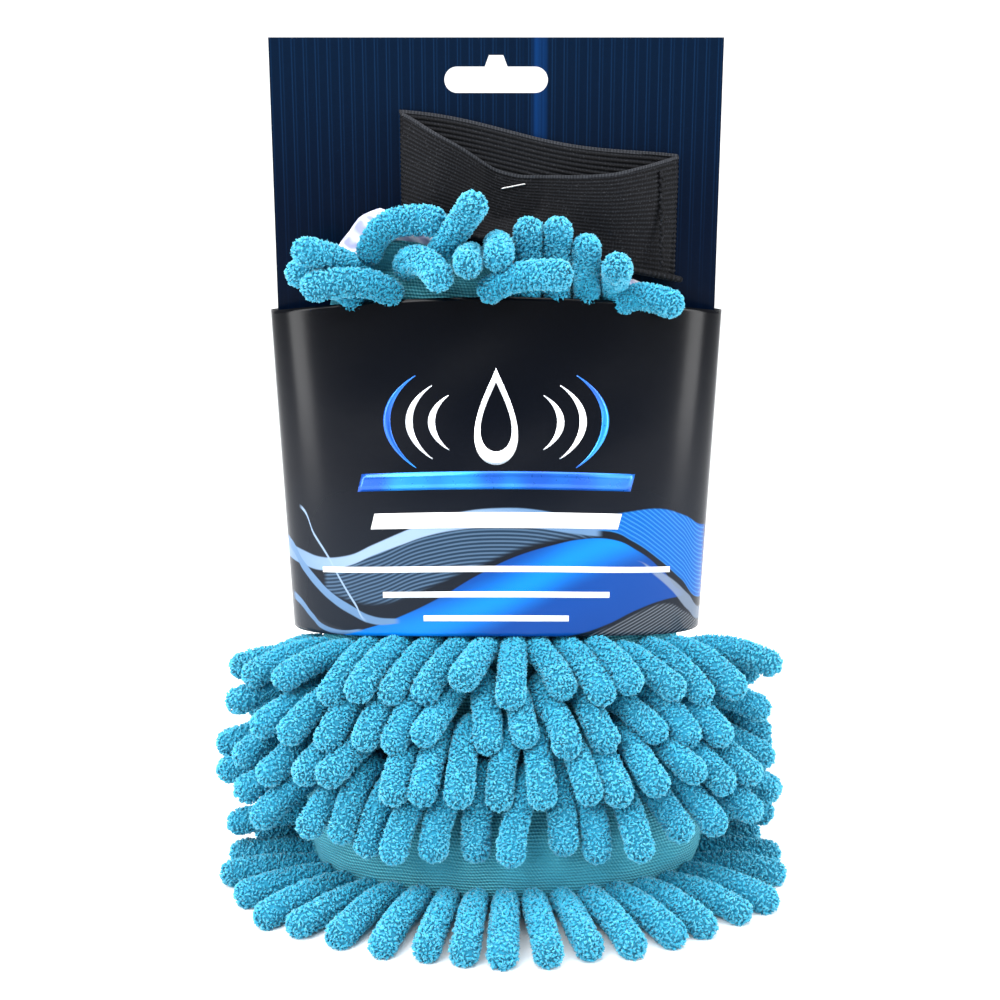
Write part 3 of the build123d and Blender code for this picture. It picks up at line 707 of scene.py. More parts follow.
@dataclass(frozen=True)
class Wire:
    """Plain drawn steel wire with fine lengthwise marks."""

    def material(self) -> bpy.types.Material:
        """Build the finish from a stretched noise."""
        tree = Tree("staple_wire")
        marks = tree.noise(3000.0, 3.0)
        colour = tree.mix(marks, (0.42, 0.42, 0.43), (0.78, 0.78, 0.77))
        rough = tree.math("ADD", 0.22, tree.math("MULTIPLY", marks, 0.2))
        tree.bump(marks, 0.1, 0.0001)
        return tree.shade(Base_Color=colour, Roughness=rough, Metallic=1.0)


@dataclass(frozen=True)
class Board:
    """Bare uncoated card board."""

    def material(self) -> bpy.types.Material:
        """Build the finish from fine fibre noise."""
        tree = Tree("bare_board")
        fibre = tree.noise(1500.0, 4.0)
        colour = tree.mix(fibre, (0.50, 0.49, 0.46), (0.66, 0.65, 0.61))
        tree.bump(fibre, 0.3, 0.0002)
        return tree.shade(Base_Color=colour, Roughness=0.8)


class Finish(Enum):
    """The named finishes of the object's pieces."""

    PILE = "chenille"
    KNIT = "base_knit"
    ELASTIC = "elastic_rib"
    LINING = "lining_satin"
    CARD = "printed_card"
    BAND = "band_print"
    BOARD = "card_core"
    WIRE = "staple_wire"


# ---------------------------------------------------------------- sub-assemblies

def settle_piece(piece: bpy.types.Object, body: str, finish: Finish, *nodes: str) -> bpy.types.Object:
    """Parent a piece to its body's empty, hide the CAD nodes that it replaces and log its face count.

    Args:
        piece: the finished piece.
        body: the CAD body it moves with.
        finish: not used.
        nodes: CAD nodes that it replaces.

    Returns:
        The piece.
    """
    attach(piece, body)
    if nodes:
        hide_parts(*nodes)
    LOG.info("%s: %d faces on %s", piece.name, len(piece.data.polygons), body)
    return piece


@dataclass
class MittBody:
    """The cloth bag of the mitt: two knitted panels, their side seams and the lining."""

    panel: float = 1.0 * MM
    rows: int = 120
    columns: int = 96
    levels: int = 40
    crease: float = 0.7 * MM
    ear: float = 6.0 * MM
    ear_height: float = 0.206
    ear_spread: float = 0.013
    reach: tuple = (-0.012, -0.004, 0.0, 0.006, 0.012, 0.019, 0.026, 0.034)
    panel_left: tuple = (3.0, 4.0, 5.0, 8.5, 14.0, 20.0, 26.0, 32.0)
    panel_right: tuple = (2.5, 4.5, 6.5, 9.0, 14.0, 22.0, 28.0, 32.0)
    lining_left: tuple = (0.5, 0.3, -2.0, -3.0, 0.5, 9.5, 21.0, 28.0)
    lining_right: tuple = (0.5, 0.3, -1.0, 3.0, 10.0, 19.0, 25.0, 30.0)
    heights: Array = field(init=False)
    table: Array = field(init=False)

    def __post_init__(self) -> None:
        """Read the body's girth at many heights from the lining, which runs inside the panels."""
        low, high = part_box("lining_bag")
        self.base = low.z - self.panel
        self.heights = np.linspace(low.z + 0.5 * MM, high.z - 12 * MM, self.levels)
        rows = []
        for height in self.heights:
            cut = slice_points("lining_bag", height)
            left, right = cut[:, 0].min() - self.panel, cut[:, 0].max() + self.panel
            front, back = cut[:, 1].min() - self.panel, cut[:, 1].max() + self.panel
            rows.append(((left + right) / 2, (front + back) / 2, (right - left) / 2, (back - front) / 2))
        table = np.array(rows)
        kernel = np.array((0.25, 0.5, 0.25))
        for _ in range(3):
            padded = np.vstack((2 * table[0] - table[1], table, 2 * table[-1] - table[-2]))
            table = sum(kernel[i] * padded[i:i + len(table)] for i in range(3))
        self.table = table

    def section(self, z: Array) -> tuple[Array, ...]:
        """Give the middle x, middle y, half width and half depth at heights."""
        return tuple(np.interp(z, self.heights, self.table[:, column]) for column in range(4))

    def skin(self, turn: Array, z: Array, inset: float, crease: float, ear: float = 0.0) -> Array:
        """Points on the cloth.

        An ellipse for each height, its half sizes less the inset, moved in and out by a smooth
        ripple, and drawn in to a rounded edge over the lowest few millimetres.

        Args:
            turn: ellipse angles.
            z: heights.
            inset: distance inside the outer surface.
            crease: depth of the ripple.
            ear: how far the left shoulder is pushed out, in a smooth hump over some heights.

        Returns:
            Points with the shape of the arguments and a last axis of three.
        """
        middle_x, middle_y, half_width, half_depth = self.section(z)
        foot = np.clip((z - self.base) / (6 * MM), 0, 1)
        tuck = 3.5 * MM * (1 - np.sqrt(1 - (1 - foot) ** 2))
        wave = crease * ripple(np.cos(turn) * 60 * MM, np.sin(turn) * 40 * MM, z * 2.2, 1.3, 46 * MM)
        out = wave - inset - tuck
        x = middle_x + (half_width + out) * np.cos(turn)
        hump = ear * np.exp(-((z - self.ear_height) / self.ear_spread) ** 2)
        x = x - hump * np.clip(-np.cos(turn), 0, 1) ** 2
        y = middle_y + (half_depth + out) * np.sin(turn)
        return np.stack((x, y, z + 0 * turn), -1)

    def join_height(self, x: Array) -> Array:
        """Height of the slanting seam under the cuff, a straight line through the binding's ends."""
        points = node_points("cuff_join_binding")
        slope, height = np.polyfit(points[:, 0], points[:, 2], 1)
        return height + slope * x

    def sheet(
        self, start: float, end: float, inset: float, top: Callable[[Array], Array], ear: float = 0.0,
    ) -> Surface:
        """A stretch of the bag between two ellipse angles, from the ground up to a top line.

        Args:
            start, end: ellipse angles.
            inset: distance inside the outer surface.
            top: height of the top line at x.
            ear: how far the left shoulder is pushed out.

        Returns:
            The open surface, with its run and girth along the cloth as point values.
        """
        share = np.linspace(0, 1, self.rows)[:, None]
        turn = np.linspace(start, end, self.columns)[None, :]
        middle_x, _, half_width, _ = self.section(np.array(0.19))
        rough_x = middle_x + half_width * np.cos(turn)
        bottom = self.base + inset
        z = bottom + (top(rough_x) - bottom) * share ** 0.9
        points = self.skin(turn + 0 * z, z, inset, self.crease, ear)
        run = np.cumsum(np.linalg.norm(np.diff(points, axis=0, prepend=points[:1]), axis=-1), axis=0)
        girth = np.cumsum(np.linalg.norm(np.diff(points, axis=1, prepend=points[:, :1]), axis=-1), axis=1)
        values = {"run": run.ravel(), "girth": girth.ravel()}
        return Surface(points.reshape(-1, 3), grid_faces(self.rows, self.columns, False), values=values)

    def thicken(self, piece: bpy.types.Object, wall: float) -> None:
        """Give an open sheet its thickness, inwards."""
        solid = piece.modifiers.new("cloth", "SOLIDIFY")
        solid.thickness = wall
        solid.offset = -1.0

    def build(self, knit: bpy.types.Material, satin: bpy.types.Material) -> None:
        """Make the two panels, the lining and the side seams."""
        cuff_low, cuff_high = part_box("elastic_cuff")

        def shoulder(x: Array, left: tuple, right: tuple) -> Array:
            """Height under the slanting seam, from drops at distances outside the cuff's ends."""
            reach = np.concatenate(
                (cuff_low.x - np.array(self.reach[::-1]), cuff_high.x + np.array(self.reach))
            )
            drops = np.concatenate((left[::-1], right)) * MM
            return self.join_height(x) - np.interp(x, reach, drops)

        def panel_top(x: Array) -> Array:
            """Top line of a panel, falling away over both shoulders."""
            return shoulder(x, self.panel_left, self.panel_right) - 1.2 * MM

        def lining_top(x: Array) -> Array:
            """Top line of the lining, standing proud of the panels at both shoulders."""
            return shoulder(x, self.lining_left, self.lining_right) - 0.6 * MM

        for name, start, end in (("front_panel", math.pi, 2 * math.pi), ("back_panel", 0.0, math.pi)):
            surface = self.sheet(start, end, 0.0, panel_top)
            piece = make_piece(name + "_knit", surface, knit)
            self.thicken(piece, self.panel * 0.9)
            settle_piece(piece, ROOT, Finish.KNIT, name)
        surface = self.sheet(0.0, 2 * math.pi, self.panel * 1.1, lining_top, self.ear)
        piece = make_piece("lining_satin_bag", surface, satin)
        self.thicken(piece, 0.7 * MM)
        settle_piece(piece, ROOT, Finish.LINING, "lining_bag")
        for sign, node in ((-1, "left_side_seam"), (1, "right_side_seam")):
            self.seam(sign, node, knit)

    def seam(self, sign: int, node: str, knit: bpy.types.Material) -> None:
        """A rolled seam: a round bead with small puckers carried up the body's side."""
        low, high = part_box(node)
        z = np.linspace(low.z + 1 * MM, high.z, 140)
        side = self.skin(np.full_like(z, 0.0 if sign > 0 else math.pi), z, 0.0, self.crease)
        around = np.linspace(0, 2 * math.pi, 10, endpoint=False)
        radius = 0.75 * MM * (1 + 0.22 * np.sin(z / (2.4 * MM) * 2 * math.pi))
        radius[[0, -1]] = 0.05 * MM
        x = side[:, :1] + radius[:, None] * np.cos(around)
        y = side[:, 1:2] + radius[:, None] * np.sin(around)
        points = np.stack((x, y, z[:, None] + 0 * x), -1).reshape(-1, 3)
        count = len(z) * len(around)
        run = np.repeat(z, len(around))
        surface = Surface(
            points, grid_faces(len(z), len(around), True), values={"run": run, "girth": np.zeros(count)},
        )
        close_ends(surface, len(around))
        settle_piece(make_piece(node + "_bead", surface, knit), ROOT, Finish.KNIT, node)


def close_ends(surface: Surface, columns: int) -> None:
    """Close a tube's two open ends with one middle point each, joined to the end rings."""
    count = len(surface.points)
    first = np.arange(columns)
    last = first + count - columns
    surface.points = np.vstack((surface.points, surface.points[first].mean(0), surface.points[last].mean(0)))
    start = np.stack((first, np.full(columns, count), np.roll(first, -1)), -1)
    end = np.stack((np.roll(last, -1), np.full(columns, count + 1), last), -1)
    surface.triangles = np.vstack((surface.triangles, start, end))
    for key, values in surface.values.items():
        surface.values[key] = np.append(values, (values[first].mean(), values[last].mean()))


@dataclass
class Pile:
    """The chenille noodles: a bent core under a dense coat of small tufts."""

    core_radius: float = 3.65 * MM
    tuft_height: float = 0.85 * MM
    tuft_length: float = 0.58 * MM
    tuft_spread: float = 0.46 * MM
    tufts: int = 1250
    club: float = 0.07
    around: int = 14
    along: int = 16
    bend: float = 2.2 * MM
    arch: dict = field(default_factory=lambda: {"left_arching_crown_noodle": 1.8})
    lower: dict = field(
        default_factory=lambda: {
            "left_outward_crown_noodle": 4.0 * MM, "tucked_crown_noodles": 1.5 * MM,
            "leaning_crown_noodle": 1.0 * MM,
        }
    )
    shoulder: tuple = (-3.0 * MM, 0.0, -2.5 * MM)
    seed: int = 11

    def axes(self, node: str, body: MittBody) -> tuple[Array, Array]:
        """Find the root and the tip of each noodle of a node.

        The longest spread of a solid's points gives its line, and the end nearer to the mitt's
        middle is its root.

        Args:
            node: the CAD node.
            body: the mitt body.

        Returns:
            Two arrays of points, the middles of the noodles' round ends.
        """
        roots, tips = [], []
        for points in islands(node):
            centre = points.mean(0)
            _, _, axes = np.linalg.svd(points - centre, full_matrices=False)
            reach = (points - centre) @ axes[0]
            girth = np.linalg.norm(np.cross(points - centre, axes[0]), axis=1).max()
            ends = [centre + axes[0] * (reach.min() + girth), centre + axes[0] * (reach.max() - girth)]
            middle_x, middle_y, half_width, half_depth = body.section(np.array([e[2] for e in ends]))
            away = [
                math.hypot((e[0] - middle_x[i]) / half_width[i], (e[1] - middle_y[i]) / half_depth[i])
                for i, e in enumerate(ends)
            ]
            if away[0] > away[1]:
                ends.reverse()
            roots.append(ends[0])
            tips.append(ends[1])
        return np.array(roots), np.array(tips)

    def centreline(
        self, roots: Array, tips: Array, rng: np.random.Generator, tuck: float, arch: float = 1.0,
    ) -> Callable[[Array], Array]:
        """Bend each noodle.

        A cubic curve from a little inside the cloth to the tip: it leaves nearly straight, rises
        by up to the bend, and its end hangs down by about as much.

        Args:
            roots, tips: the noodles' ends.
            rng: source of the unevenness.
            tuck: how far the root reaches into the cloth.
            arch: how many times the usual bend it has.

        Returns:
            A function from shares of the length to points.
        """
        run = tips - roots
        way = unit(run)
        side = unit(np.cross(way, (0.0, 0.0, 1.0)) + 1e-9)
        lift = np.cross(side, way)
        count = len(roots)
        sway = rng.normal(0, 0.5, (count, 1)) * self.bend
        rise = (0.8 + rng.normal(0, 0.35, (count, 1))) * self.bend * arch
        start = roots - way * tuck
        first = start + run * 0.34 + lift * rise * 1.1 + side * sway
        second = start + run * 0.72 + lift * rise * 0.9 - side * sway * 0.6
        end = tips - lift * rise * 0.35

        def curve(share: Array) -> Array:
            """The cubic at shares from 0 to 1, by the four Bernstein weights."""
            s = share[None, :, None]
            weights = ((1 - s) ** 3, 3 * s * (1 - s) ** 2, 3 * s * s * (1 - s), s ** 3)
            corners = (start, first, second, end)
            return sum(w * c[:, None, :] for w, c in zip(weights, corners))

        return curve

    def build(
        self, node: str, body_name: str, body: MittBody, pile: bpy.types.Material, tuck: float = 4.0 * MM,
    ) -> None:
        """Make one node's noodles as one piece.

        Args:
            node: the CAD node that they replace.
            body_name: the body that they ride on.
            body: the mitt body.
            pile: their finish.
            tuck: how far the roots reach into the cloth.
        """
        rng = np.random.default_rng(self.seed + sum(map(ord, node)))
        roots, tips = self.axes(node, body)
        roots[:, 2] -= self.lower.get(node, 0.0)
        if node == "tucked_crown_noodles":
            shoulder = (roots[:, :1] > 40 * MM) * np.array(self.shoulder)
            roots, tips = roots + shoulder, tips + shoulder
        curve = self.centreline(roots, tips, rng, tuck, self.arch.get(node, 1.0))
        radius = self.core_radius * (1 + rng.normal(0, 0.03, len(roots)))
        core = self.core(curve, radius)
        coat = self.coat(curve, radius, rng)
        piece = make_piece(node + "_pile", core.joined(coat), pile)
        settle_piece(piece, body_name, Finish.PILE, node)

    def frames(self, curve: Callable[[Array], Array], share: Array) -> tuple[Array, Array, Array, Array]:
        """Points, tangents and two cross directions along each noodle.

        Args:
            curve: the centreline.
            share: shares of the length.

        Returns:
            Four arrays of shape noodles by shares by three.
        """
        points = curve(share)
        small = 1e-3
        tangent = unit(curve(np.minimum(share + small, 1)) - curve(np.maximum(share - small, 0)))
        guide = unit(np.cross(tangent[:, :1] + tangent[:, -1:], (0.31, 0.22, 0.93)))
        first = unit(guide - tangent * np.sum(guide * tangent, -1, keepdims=True))
        return points, tangent, first, np.cross(tangent, first)

    def core(self, curve: Callable[[Array], Array], radius: Array) -> Surface:
        """The closed core tube: a circle carried along the curve, with half-round ends."""
        cap = np.linspace(0, math.pi / 2, 6)[1:]
        share = np.concatenate((np.zeros(3), np.linspace(0, 1, self.along), np.ones(len(cap))))
        ahead = np.concatenate((-np.sin(cap[[4, 2, 0]]), np.zeros(self.along), np.sin(cap)))
        width = np.concatenate((np.cos(cap[[4, 2, 0]]), np.ones(self.along), np.cos(cap)))
        width = width * (1 + self.club * (2 * share - 1))
        width[[0, -1]] = 0.02
        points, tangent, first, second = self.frames(curve, share)
        turn = np.linspace(0, 2 * math.pi, self.around, endpoint=False)
        centre = points + tangent * (ahead * 1.0)[None, :, None] * radius[:, None, None]
        ring = first[:, :, None] * np.cos(turn)[None, None, :, None]
        ring = ring + second[:, :, None] * np.sin(turn)[None, None, :, None]
        body = centre[:, :, None] + ring * (radius[:, None] * width[None, :])[:, :, None, None]
        count, rows = len(points), len(share)
        one = grid_faces(rows, self.around, True)
        size = rows * self.around
        quads = (one[None] + (np.arange(count) * size)[:, None, None]).reshape(-1, 4)
        flat = body.reshape(-1, 3)
        last = np.arange(self.around)
        starts = np.arange(count)[:, None] * size
        ends = starts + size - self.around
        caps = []
        for base, order in ((starts, 1), (ends, -1)):
            poles = len(flat) + np.arange(count)
            flat = np.vstack((flat, flat[(base + last)].mean(1)))
            ring_now, ring_next = base + last, base + np.roll(last, -1)
            pole = np.repeat(poles[:, None], self.around, 1)
            trio = (ring_now, pole, ring_next) if order > 0 else (ring_next, pole, ring_now)
            caps.append(np.stack(trio, -1).reshape(-1, 3))
        # Painted shade: the bare core gets a low pile value, so the finish paints it dark where it shows
        # between the tufts.
        values = {"pile": np.full(len(flat), 0.12)}
        return Surface(flat, quads, np.vstack(caps), values)

    def coat(self, curve: Callable[[Array], Array], radius: Array, rng: np.random.Generator) -> Surface:
        """The tufts: four-faced wedges with a ridge outside and a cross edge sunk in the core.

        They are spread evenly by a golden-angle spiral over the shaft and both round ends, then
        shaken. Each has two ridge points and two buried points, and leans at random.

        Args:
            curve: the centreline.
            radius: core radius of each noodle.
            rng: source of the unevenness.

        Returns:
            The tufts as one surface.
        """
        count, tufts = len(radius), self.tufts
        order = (np.arange(tufts) + 0.5) / tufts
        line = np.linspace(0, 1, 33)
        length = np.linalg.norm(np.diff(curve(line), axis=1), axis=-1).sum(1)
        reach = order[None, :] * (length + 2 * radius)[:, None] - radius[:, None]
        reach = reach + rng.normal(0, 0.35 * MM, reach.shape)
        most = radius[:, None] * 0.995
        over = np.clip(reach - length[:, None], 0, most) - np.clip(-reach, 0, most)
        share = np.clip(reach / length[:, None], 0, 1)
        turn = np.arange(tufts)[None, :] * 2.399963 + rng.normal(0, 0.12, reach.shape)
        grid = np.linspace(0, 1, 49)
        points, tangent, first, second = self.frames(curve, grid)
        place = share * 48
        low = np.minimum(place.astype(int), 47)
        part = (place - low)[..., None]
        pick = np.arange(count)[:, None]

        def along(values: Array) -> Array:
            """Values along the curve, read between grid points."""
            return values[pick, low] * (1 - part) + values[pick, low + 1] * part

        centre, way = along(points), unit(along(tangent))
        cross = unit(along(first)), unit(along(second))
        rim = np.cos(turn)[..., None] * cross[0] + np.sin(turn)[..., None] * cross[1]
        rise = over / radius[:, None]
        flat = np.sqrt(1 - rise ** 2)
        normal = way * rise[..., None] + rim * flat[..., None]
        side = np.cross(way, rim)
        fall = unit(np.cross(normal, side))
        surface = centre + normal * (radius[:, None] * (1 + self.club * (2 * share - 1)))[..., None]
        lean = rng.normal(0, 0.38, (*reach.shape, 2))
        out = unit(normal + side * lean[..., :1] + fall * lean[..., 1:])
        spin = rng.normal(0.0, 0.75, reach.shape) + np.where(np.abs(rise) > 0.3, math.pi / 2, 0.0)
        ridge = side * np.cos(spin)[..., None] + fall * np.sin(spin)[..., None]
        ridge = unit(ridge - out * np.sum(ridge * out, -1, keepdims=True))
        foot = np.cross(out, ridge)
        tall = self.tuft_height * (1 + rng.normal(0, 0.20, reach.shape)).clip(0.4, 1.5)[..., None]
        wide = self.tuft_length * (1 + rng.normal(0, 0.25, reach.shape)).clip(0.4, 1.7)[..., None]
        sunk = surface - out * 0.45 * MM
        corners = np.stack(
            (
                surface + out * tall + ridge * wide,
                surface + out * tall * 0.92 - ridge * wide,
                sunk + foot * self.tuft_spread,
                sunk - foot * self.tuft_spread,
            ),
            axis=2,
        )
        total = count * tufts
        base = (np.arange(total) * 4)[:, None, None]
        faces = np.array(((0, 1, 2), (1, 0, 3), (0, 2, 3), (2, 1, 3)))
        # Painted shade: buried points get a pile value of zero and ridges a high one, and the ridges are
        # darkened towards the noodle's root, where shade falls.
        value = np.empty((total, 4))
        shade = (0.60 + 0.40 * share ** 0.7).reshape(-1)
        value[:, :2] = ((0.74 + rng.normal(0, 0.08, total)) * shade).clip(0.15, 1.0)[:, None]
        value[:, 2:] = 0.0
        triangles = (faces[None] + base).reshape(-1, 3)
        return Surface(corners.reshape(-1, 3), triangles=triangles, values={"pile": value.ravel()})


@dataclass
class Cuff:
    """The ribbed elastic cuff, its side seam and the rolled seam that joins it to the mitt."""

    rib: float = 1.3 * MM
    rib_depth: float = 0.28 * MM
    wall: float = 1.2 * MM
    columns: int = 220
    rows: int = 210
    flat: float = 5.5 * MM
    sag_places: tuple = (0.0, 0.12, 0.22, 0.34, 0.42, 0.55, 0.76, 0.90, 1.0)
    sag_shares: tuple = (0.03, 0.42, 0.66, 1.0, 1.0, 0.80, 0.56, 0.28, 0.03)

    def __post_init__(self) -> None:
        """Read the cuff's outline from its CAD node."""
        low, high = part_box("elastic_cuff")
        pin_low, pin_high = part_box("staple")
        self.left, self.right = low.x, high.x
        self.back, self.front = high.y, low.y
        self.pinch = (pin_low.x + pin_high.x) / 2
        self.pin_z = (pin_low.z + pin_high.z) / 2
        self.pin_front = pin_low.y + 0.5 * MM
        points = node_points("elastic_cuff")
        rear = points[points[:, 1] > self.back - 0.2 * MM]
        self.top_left = rear[rear[:, 0] < self.left + 3 * MM][:, 2].max()
        self.top_right = rear[rear[:, 0] > self.right - 3 * MM][:, 2].max()

    def plan(self, turn: Array, height: Array) -> tuple[Array, Array]:
        """Plan of the cuff at an angle and a share of its height.

        The back wall is straight. The front wall is two half-sine bows that meet at the staple,
        and lower down they blend into one wide bow over the mitt's mouth.

        Args:
            turn: place round the tube from 0 to 1, the first half along the back from left to
                right, the second along the front from right to left.
            height: share of the height from the seam to the rim.

        Returns:
            x and y.
        """
        back_share = np.clip(turn * 2, 0, 1)
        front_share = np.clip(2 - turn * 2, 0, 1)
        share = np.where(turn < 0.5, back_share, front_share)
        ease = 0.5 - 0.5 * np.cos(math.pi * share)
        share = 0.55 * share + 0.45 * ease
        x = self.left + (self.right - self.left) * share
        left_part = np.clip((x - self.left) / (self.pinch - self.flat - self.left), 0, 1)
        right_part = np.clip((self.right - x) / (self.right - self.pinch - self.flat), 0, 1)
        deep = self.back - self.front
        double = np.where(
            x < self.pinch, 0.74 * np.sin(math.pi * left_part ** 0.9), np.sin(math.pi * right_part ** 0.85),
        )
        single = np.sin(math.pi * np.clip(share, 0, 1)) ** 0.8
        near = np.exp(-(np.clip(0.55 - height, 0, None) / 0.42) ** 2)
        pin = (self.back - self.pin_front - 0.3 * MM) / deep
        bow = double.clip(0, None) * near + single * 0.86 * (1 - near)
        bow = np.maximum(bow, pin * np.sin(math.pi * share) ** 0.3)
        y = np.where(turn < 0.5, self.back, self.back - deep * bow)
        return x, y

    def rim(self, x: Array, front: Array) -> Array:
        """Height of the mouth: a slant along the back, lower and sagging to the staple in front."""
        share = (x - self.left) / (self.right - self.left)
        back = self.top_left + (self.top_right - self.top_left) * share
        back = back + 1.2 * MM * np.sin(math.pi * share * 2.2 + 0.5)
        fine = np.linspace(0, 1, 401)
        table = np.interp(fine, self.sag_places, self.sag_shares)
        kernel = np.hanning(45)
        table = np.convolve(np.pad(table, 22, "edge"), kernel / kernel.sum(), "valid")
        pinch = (self.pinch - self.left) / (self.right - self.left)
        deepest = self.top_left + (self.top_right - self.top_left) * pinch - self.pin_z - 4.0 * MM
        return back - deepest * np.interp(share, fine, table) * front

    def build(self, elastic: bpy.types.Material, body: MittBody) -> None:
        """Make the tube as one closed wall: outside up, over the rim and down the inside."""
        turn = np.linspace(0, 1, self.columns, endpoint=False)[None, :]
        share = np.linspace(0, 1, self.rows)[:, None]
        x, _ = self.plan(turn + 0 * share, share)
        front = (turn >= 0.5).astype(float) + 0 * share
        bottom = body.join_height(x) - 1.0 * MM
        top = self.rim(x, front)
        z = bottom + (top - bottom) * share
        level = (z - bottom.mean()) / (top - bottom).mean()
        _, y = self.plan(turn + 0 * share, level)
        count = (top - bottom).mean() / self.rib
        # Rib values: the elastic finish paints shade where they are low, between the ribs, and a highlight
        # where they are high; the rim rows get 1.5, which also raises them, for a paler painted highlight
        # along the rim.
        wave = 0.5 + 0.5 * np.cos(share * 2 * math.pi * count)
        wave = np.where((1 - share) * (top - bottom) < 0.9 * MM, 1.5, wave)
        centre = np.stack((x, y, z), -1)
        across = np.roll(centre, -1, 1) - np.roll(centre, 1, 1)
        outward = unit(np.stack((-across[..., 1], across[..., 0], 0 * x), -1))
        ripple_now = 0.35 * MM * ripple(x, y, z, 4.2, 30 * MM)
        ripple_now = ripple_now * (1 - np.exp(-((x - self.pinch) / (12 * MM)) ** 2))
        outer = centre + outward * (self.rib_depth * (wave - 1) + ripple_now * front)[..., None]
        inner = centre - outward * (self.wall * 0.85 - 0.1 * MM * wave)[..., None]
        girth = np.cumsum(np.linalg.norm(np.diff(centre, axis=1, prepend=centre[:, :1]), axis=-1), axis=1)
        points = np.vstack((outer, inner[::-1]))
        values = {
            "rib": np.vstack((wave, wave[::-1])).ravel(),
            "girth": np.vstack((girth, girth[::-1])).ravel(),
        }
        rows = 2 * self.rows
        quads = grid_faces(rows, self.columns, True)
        last = np.arange(self.columns) + (rows - 1) * self.columns
        first = np.arange(self.columns)
        close = np.stack((last, np.roll(last, -1), np.roll(first, -1), first), -1)
        surface = Surface(points.reshape(-1, 3), np.vstack((quads, close)), values=values)
        piece = make_piece("elastic_cuff_ribs", surface, elastic)
        recalculate(piece)
        settle_piece(piece, ROOT, Finish.ELASTIC, "elastic_cuff")
        self.side_seam(elastic)
        self.binding(elastic, body)

    def bead(self, path: Array, radius: Array, closed: bool, flatten: float = 1.0) -> Surface:
        """A round or flattened bead carried along a path.

        Args:
            path: points of the path.
            radius: radius at each point.
            closed: whether the path returns to its start.
            flatten: share of the radius kept in depth.

        Returns:
            The closed surface.
        """
        around = np.linspace(0, 2 * math.pi, 10, endpoint=False)
        if closed:
            way = unit(np.roll(path, -1, 0) - np.roll(path, 1, 0))
        else:
            way = unit(np.gradient(path, axis=0))
        side = unit(np.cross(way, (0.0, 1.0, 0.0)) + 1e-9)
        out = np.cross(side, way)
        ring = side[:, None] * np.cos(around)[
            None, :, None,
        ] + flatten * out[:, None] * np.sin(around)[None, :, None]
        points = path[:, None] + ring * radius[:, None, None]
        rows = len(path)
        quads = grid_faces(rows, 10, True)
        if closed:
            last = np.arange(10) + (rows - 1) * 10
            first = np.arange(10)
            quads = np.vstack((quads, np.stack((last, np.roll(last, -1), np.roll(first, -1), first), -1)))
        run = np.cumsum(np.linalg.norm(np.diff(path, axis=0, prepend=path[:1]), axis=-1))
        # The rib value bands the bead with painted shade and painted highlight in the elastic finish.
        values = {
            "rib": np.repeat(0.5 + 0.5 * np.sin(run * 2 * math.pi / (1.6 * MM)), 10),
            "girth": np.repeat(run, 10),
        }
        surface = Surface(points.reshape(-1, 3), quads, values=values)
        if not closed:
            close_ends(surface, 10)
        return surface

    def side_seam(self, elastic: bpy.types.Material) -> None:
        """A raised zigzag seam down the cuff near its right end, where its CAD strip stands."""
        low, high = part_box("cuff_side_seam")
        z = np.linspace(low.z, high.z, 160)
        x = (low.x + high.x) / 2 + 0.35 * MM * np.sin(z / (2.2 * MM) * 2 * math.pi) + 0.03 * (high.z - z)
        y = np.full_like(z, low.y + 0.35 * MM)
        radius = np.full_like(z, 0.55 * MM)
        radius[[0, -1]] = 0.1 * MM
        surface = self.bead(np.stack((x, y, z), -1), radius, False)
        settle_piece(
            make_piece("cuff_side_seam_bead", surface, elastic), ROOT, Finish.ELASTIC, "cuff_side_seam",
        )

    def binding(self, elastic: bpy.types.Material, body: MittBody) -> None:
        """The rolled seam: a flattened bead round the body's oval mouth, on the slant."""
        low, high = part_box("cuff_join_binding")
        middle_x, middle_y = (self.left + self.right) / 2, (low.y + high.y) / 2
        half_width, half_depth = (self.right - self.left) / 2 + 0.6 * MM, (high.y - low.y) / 2 - 0.6 * MM
        turn = np.linspace(0, 2 * math.pi, 240, endpoint=False)
        x = middle_x + half_width * np.cos(turn)
        y = middle_y + half_depth * np.sin(turn)
        path = np.stack((x, y, body.join_height(x)), -1)
        surface = self.bead(path, np.full(len(turn), 0.95 * MM), True)
        piece = make_piece("cuff_join_roll", surface, elastic)
        settle_piece(piece, ROOT, Finish.ELASTIC, "cuff_join_binding")


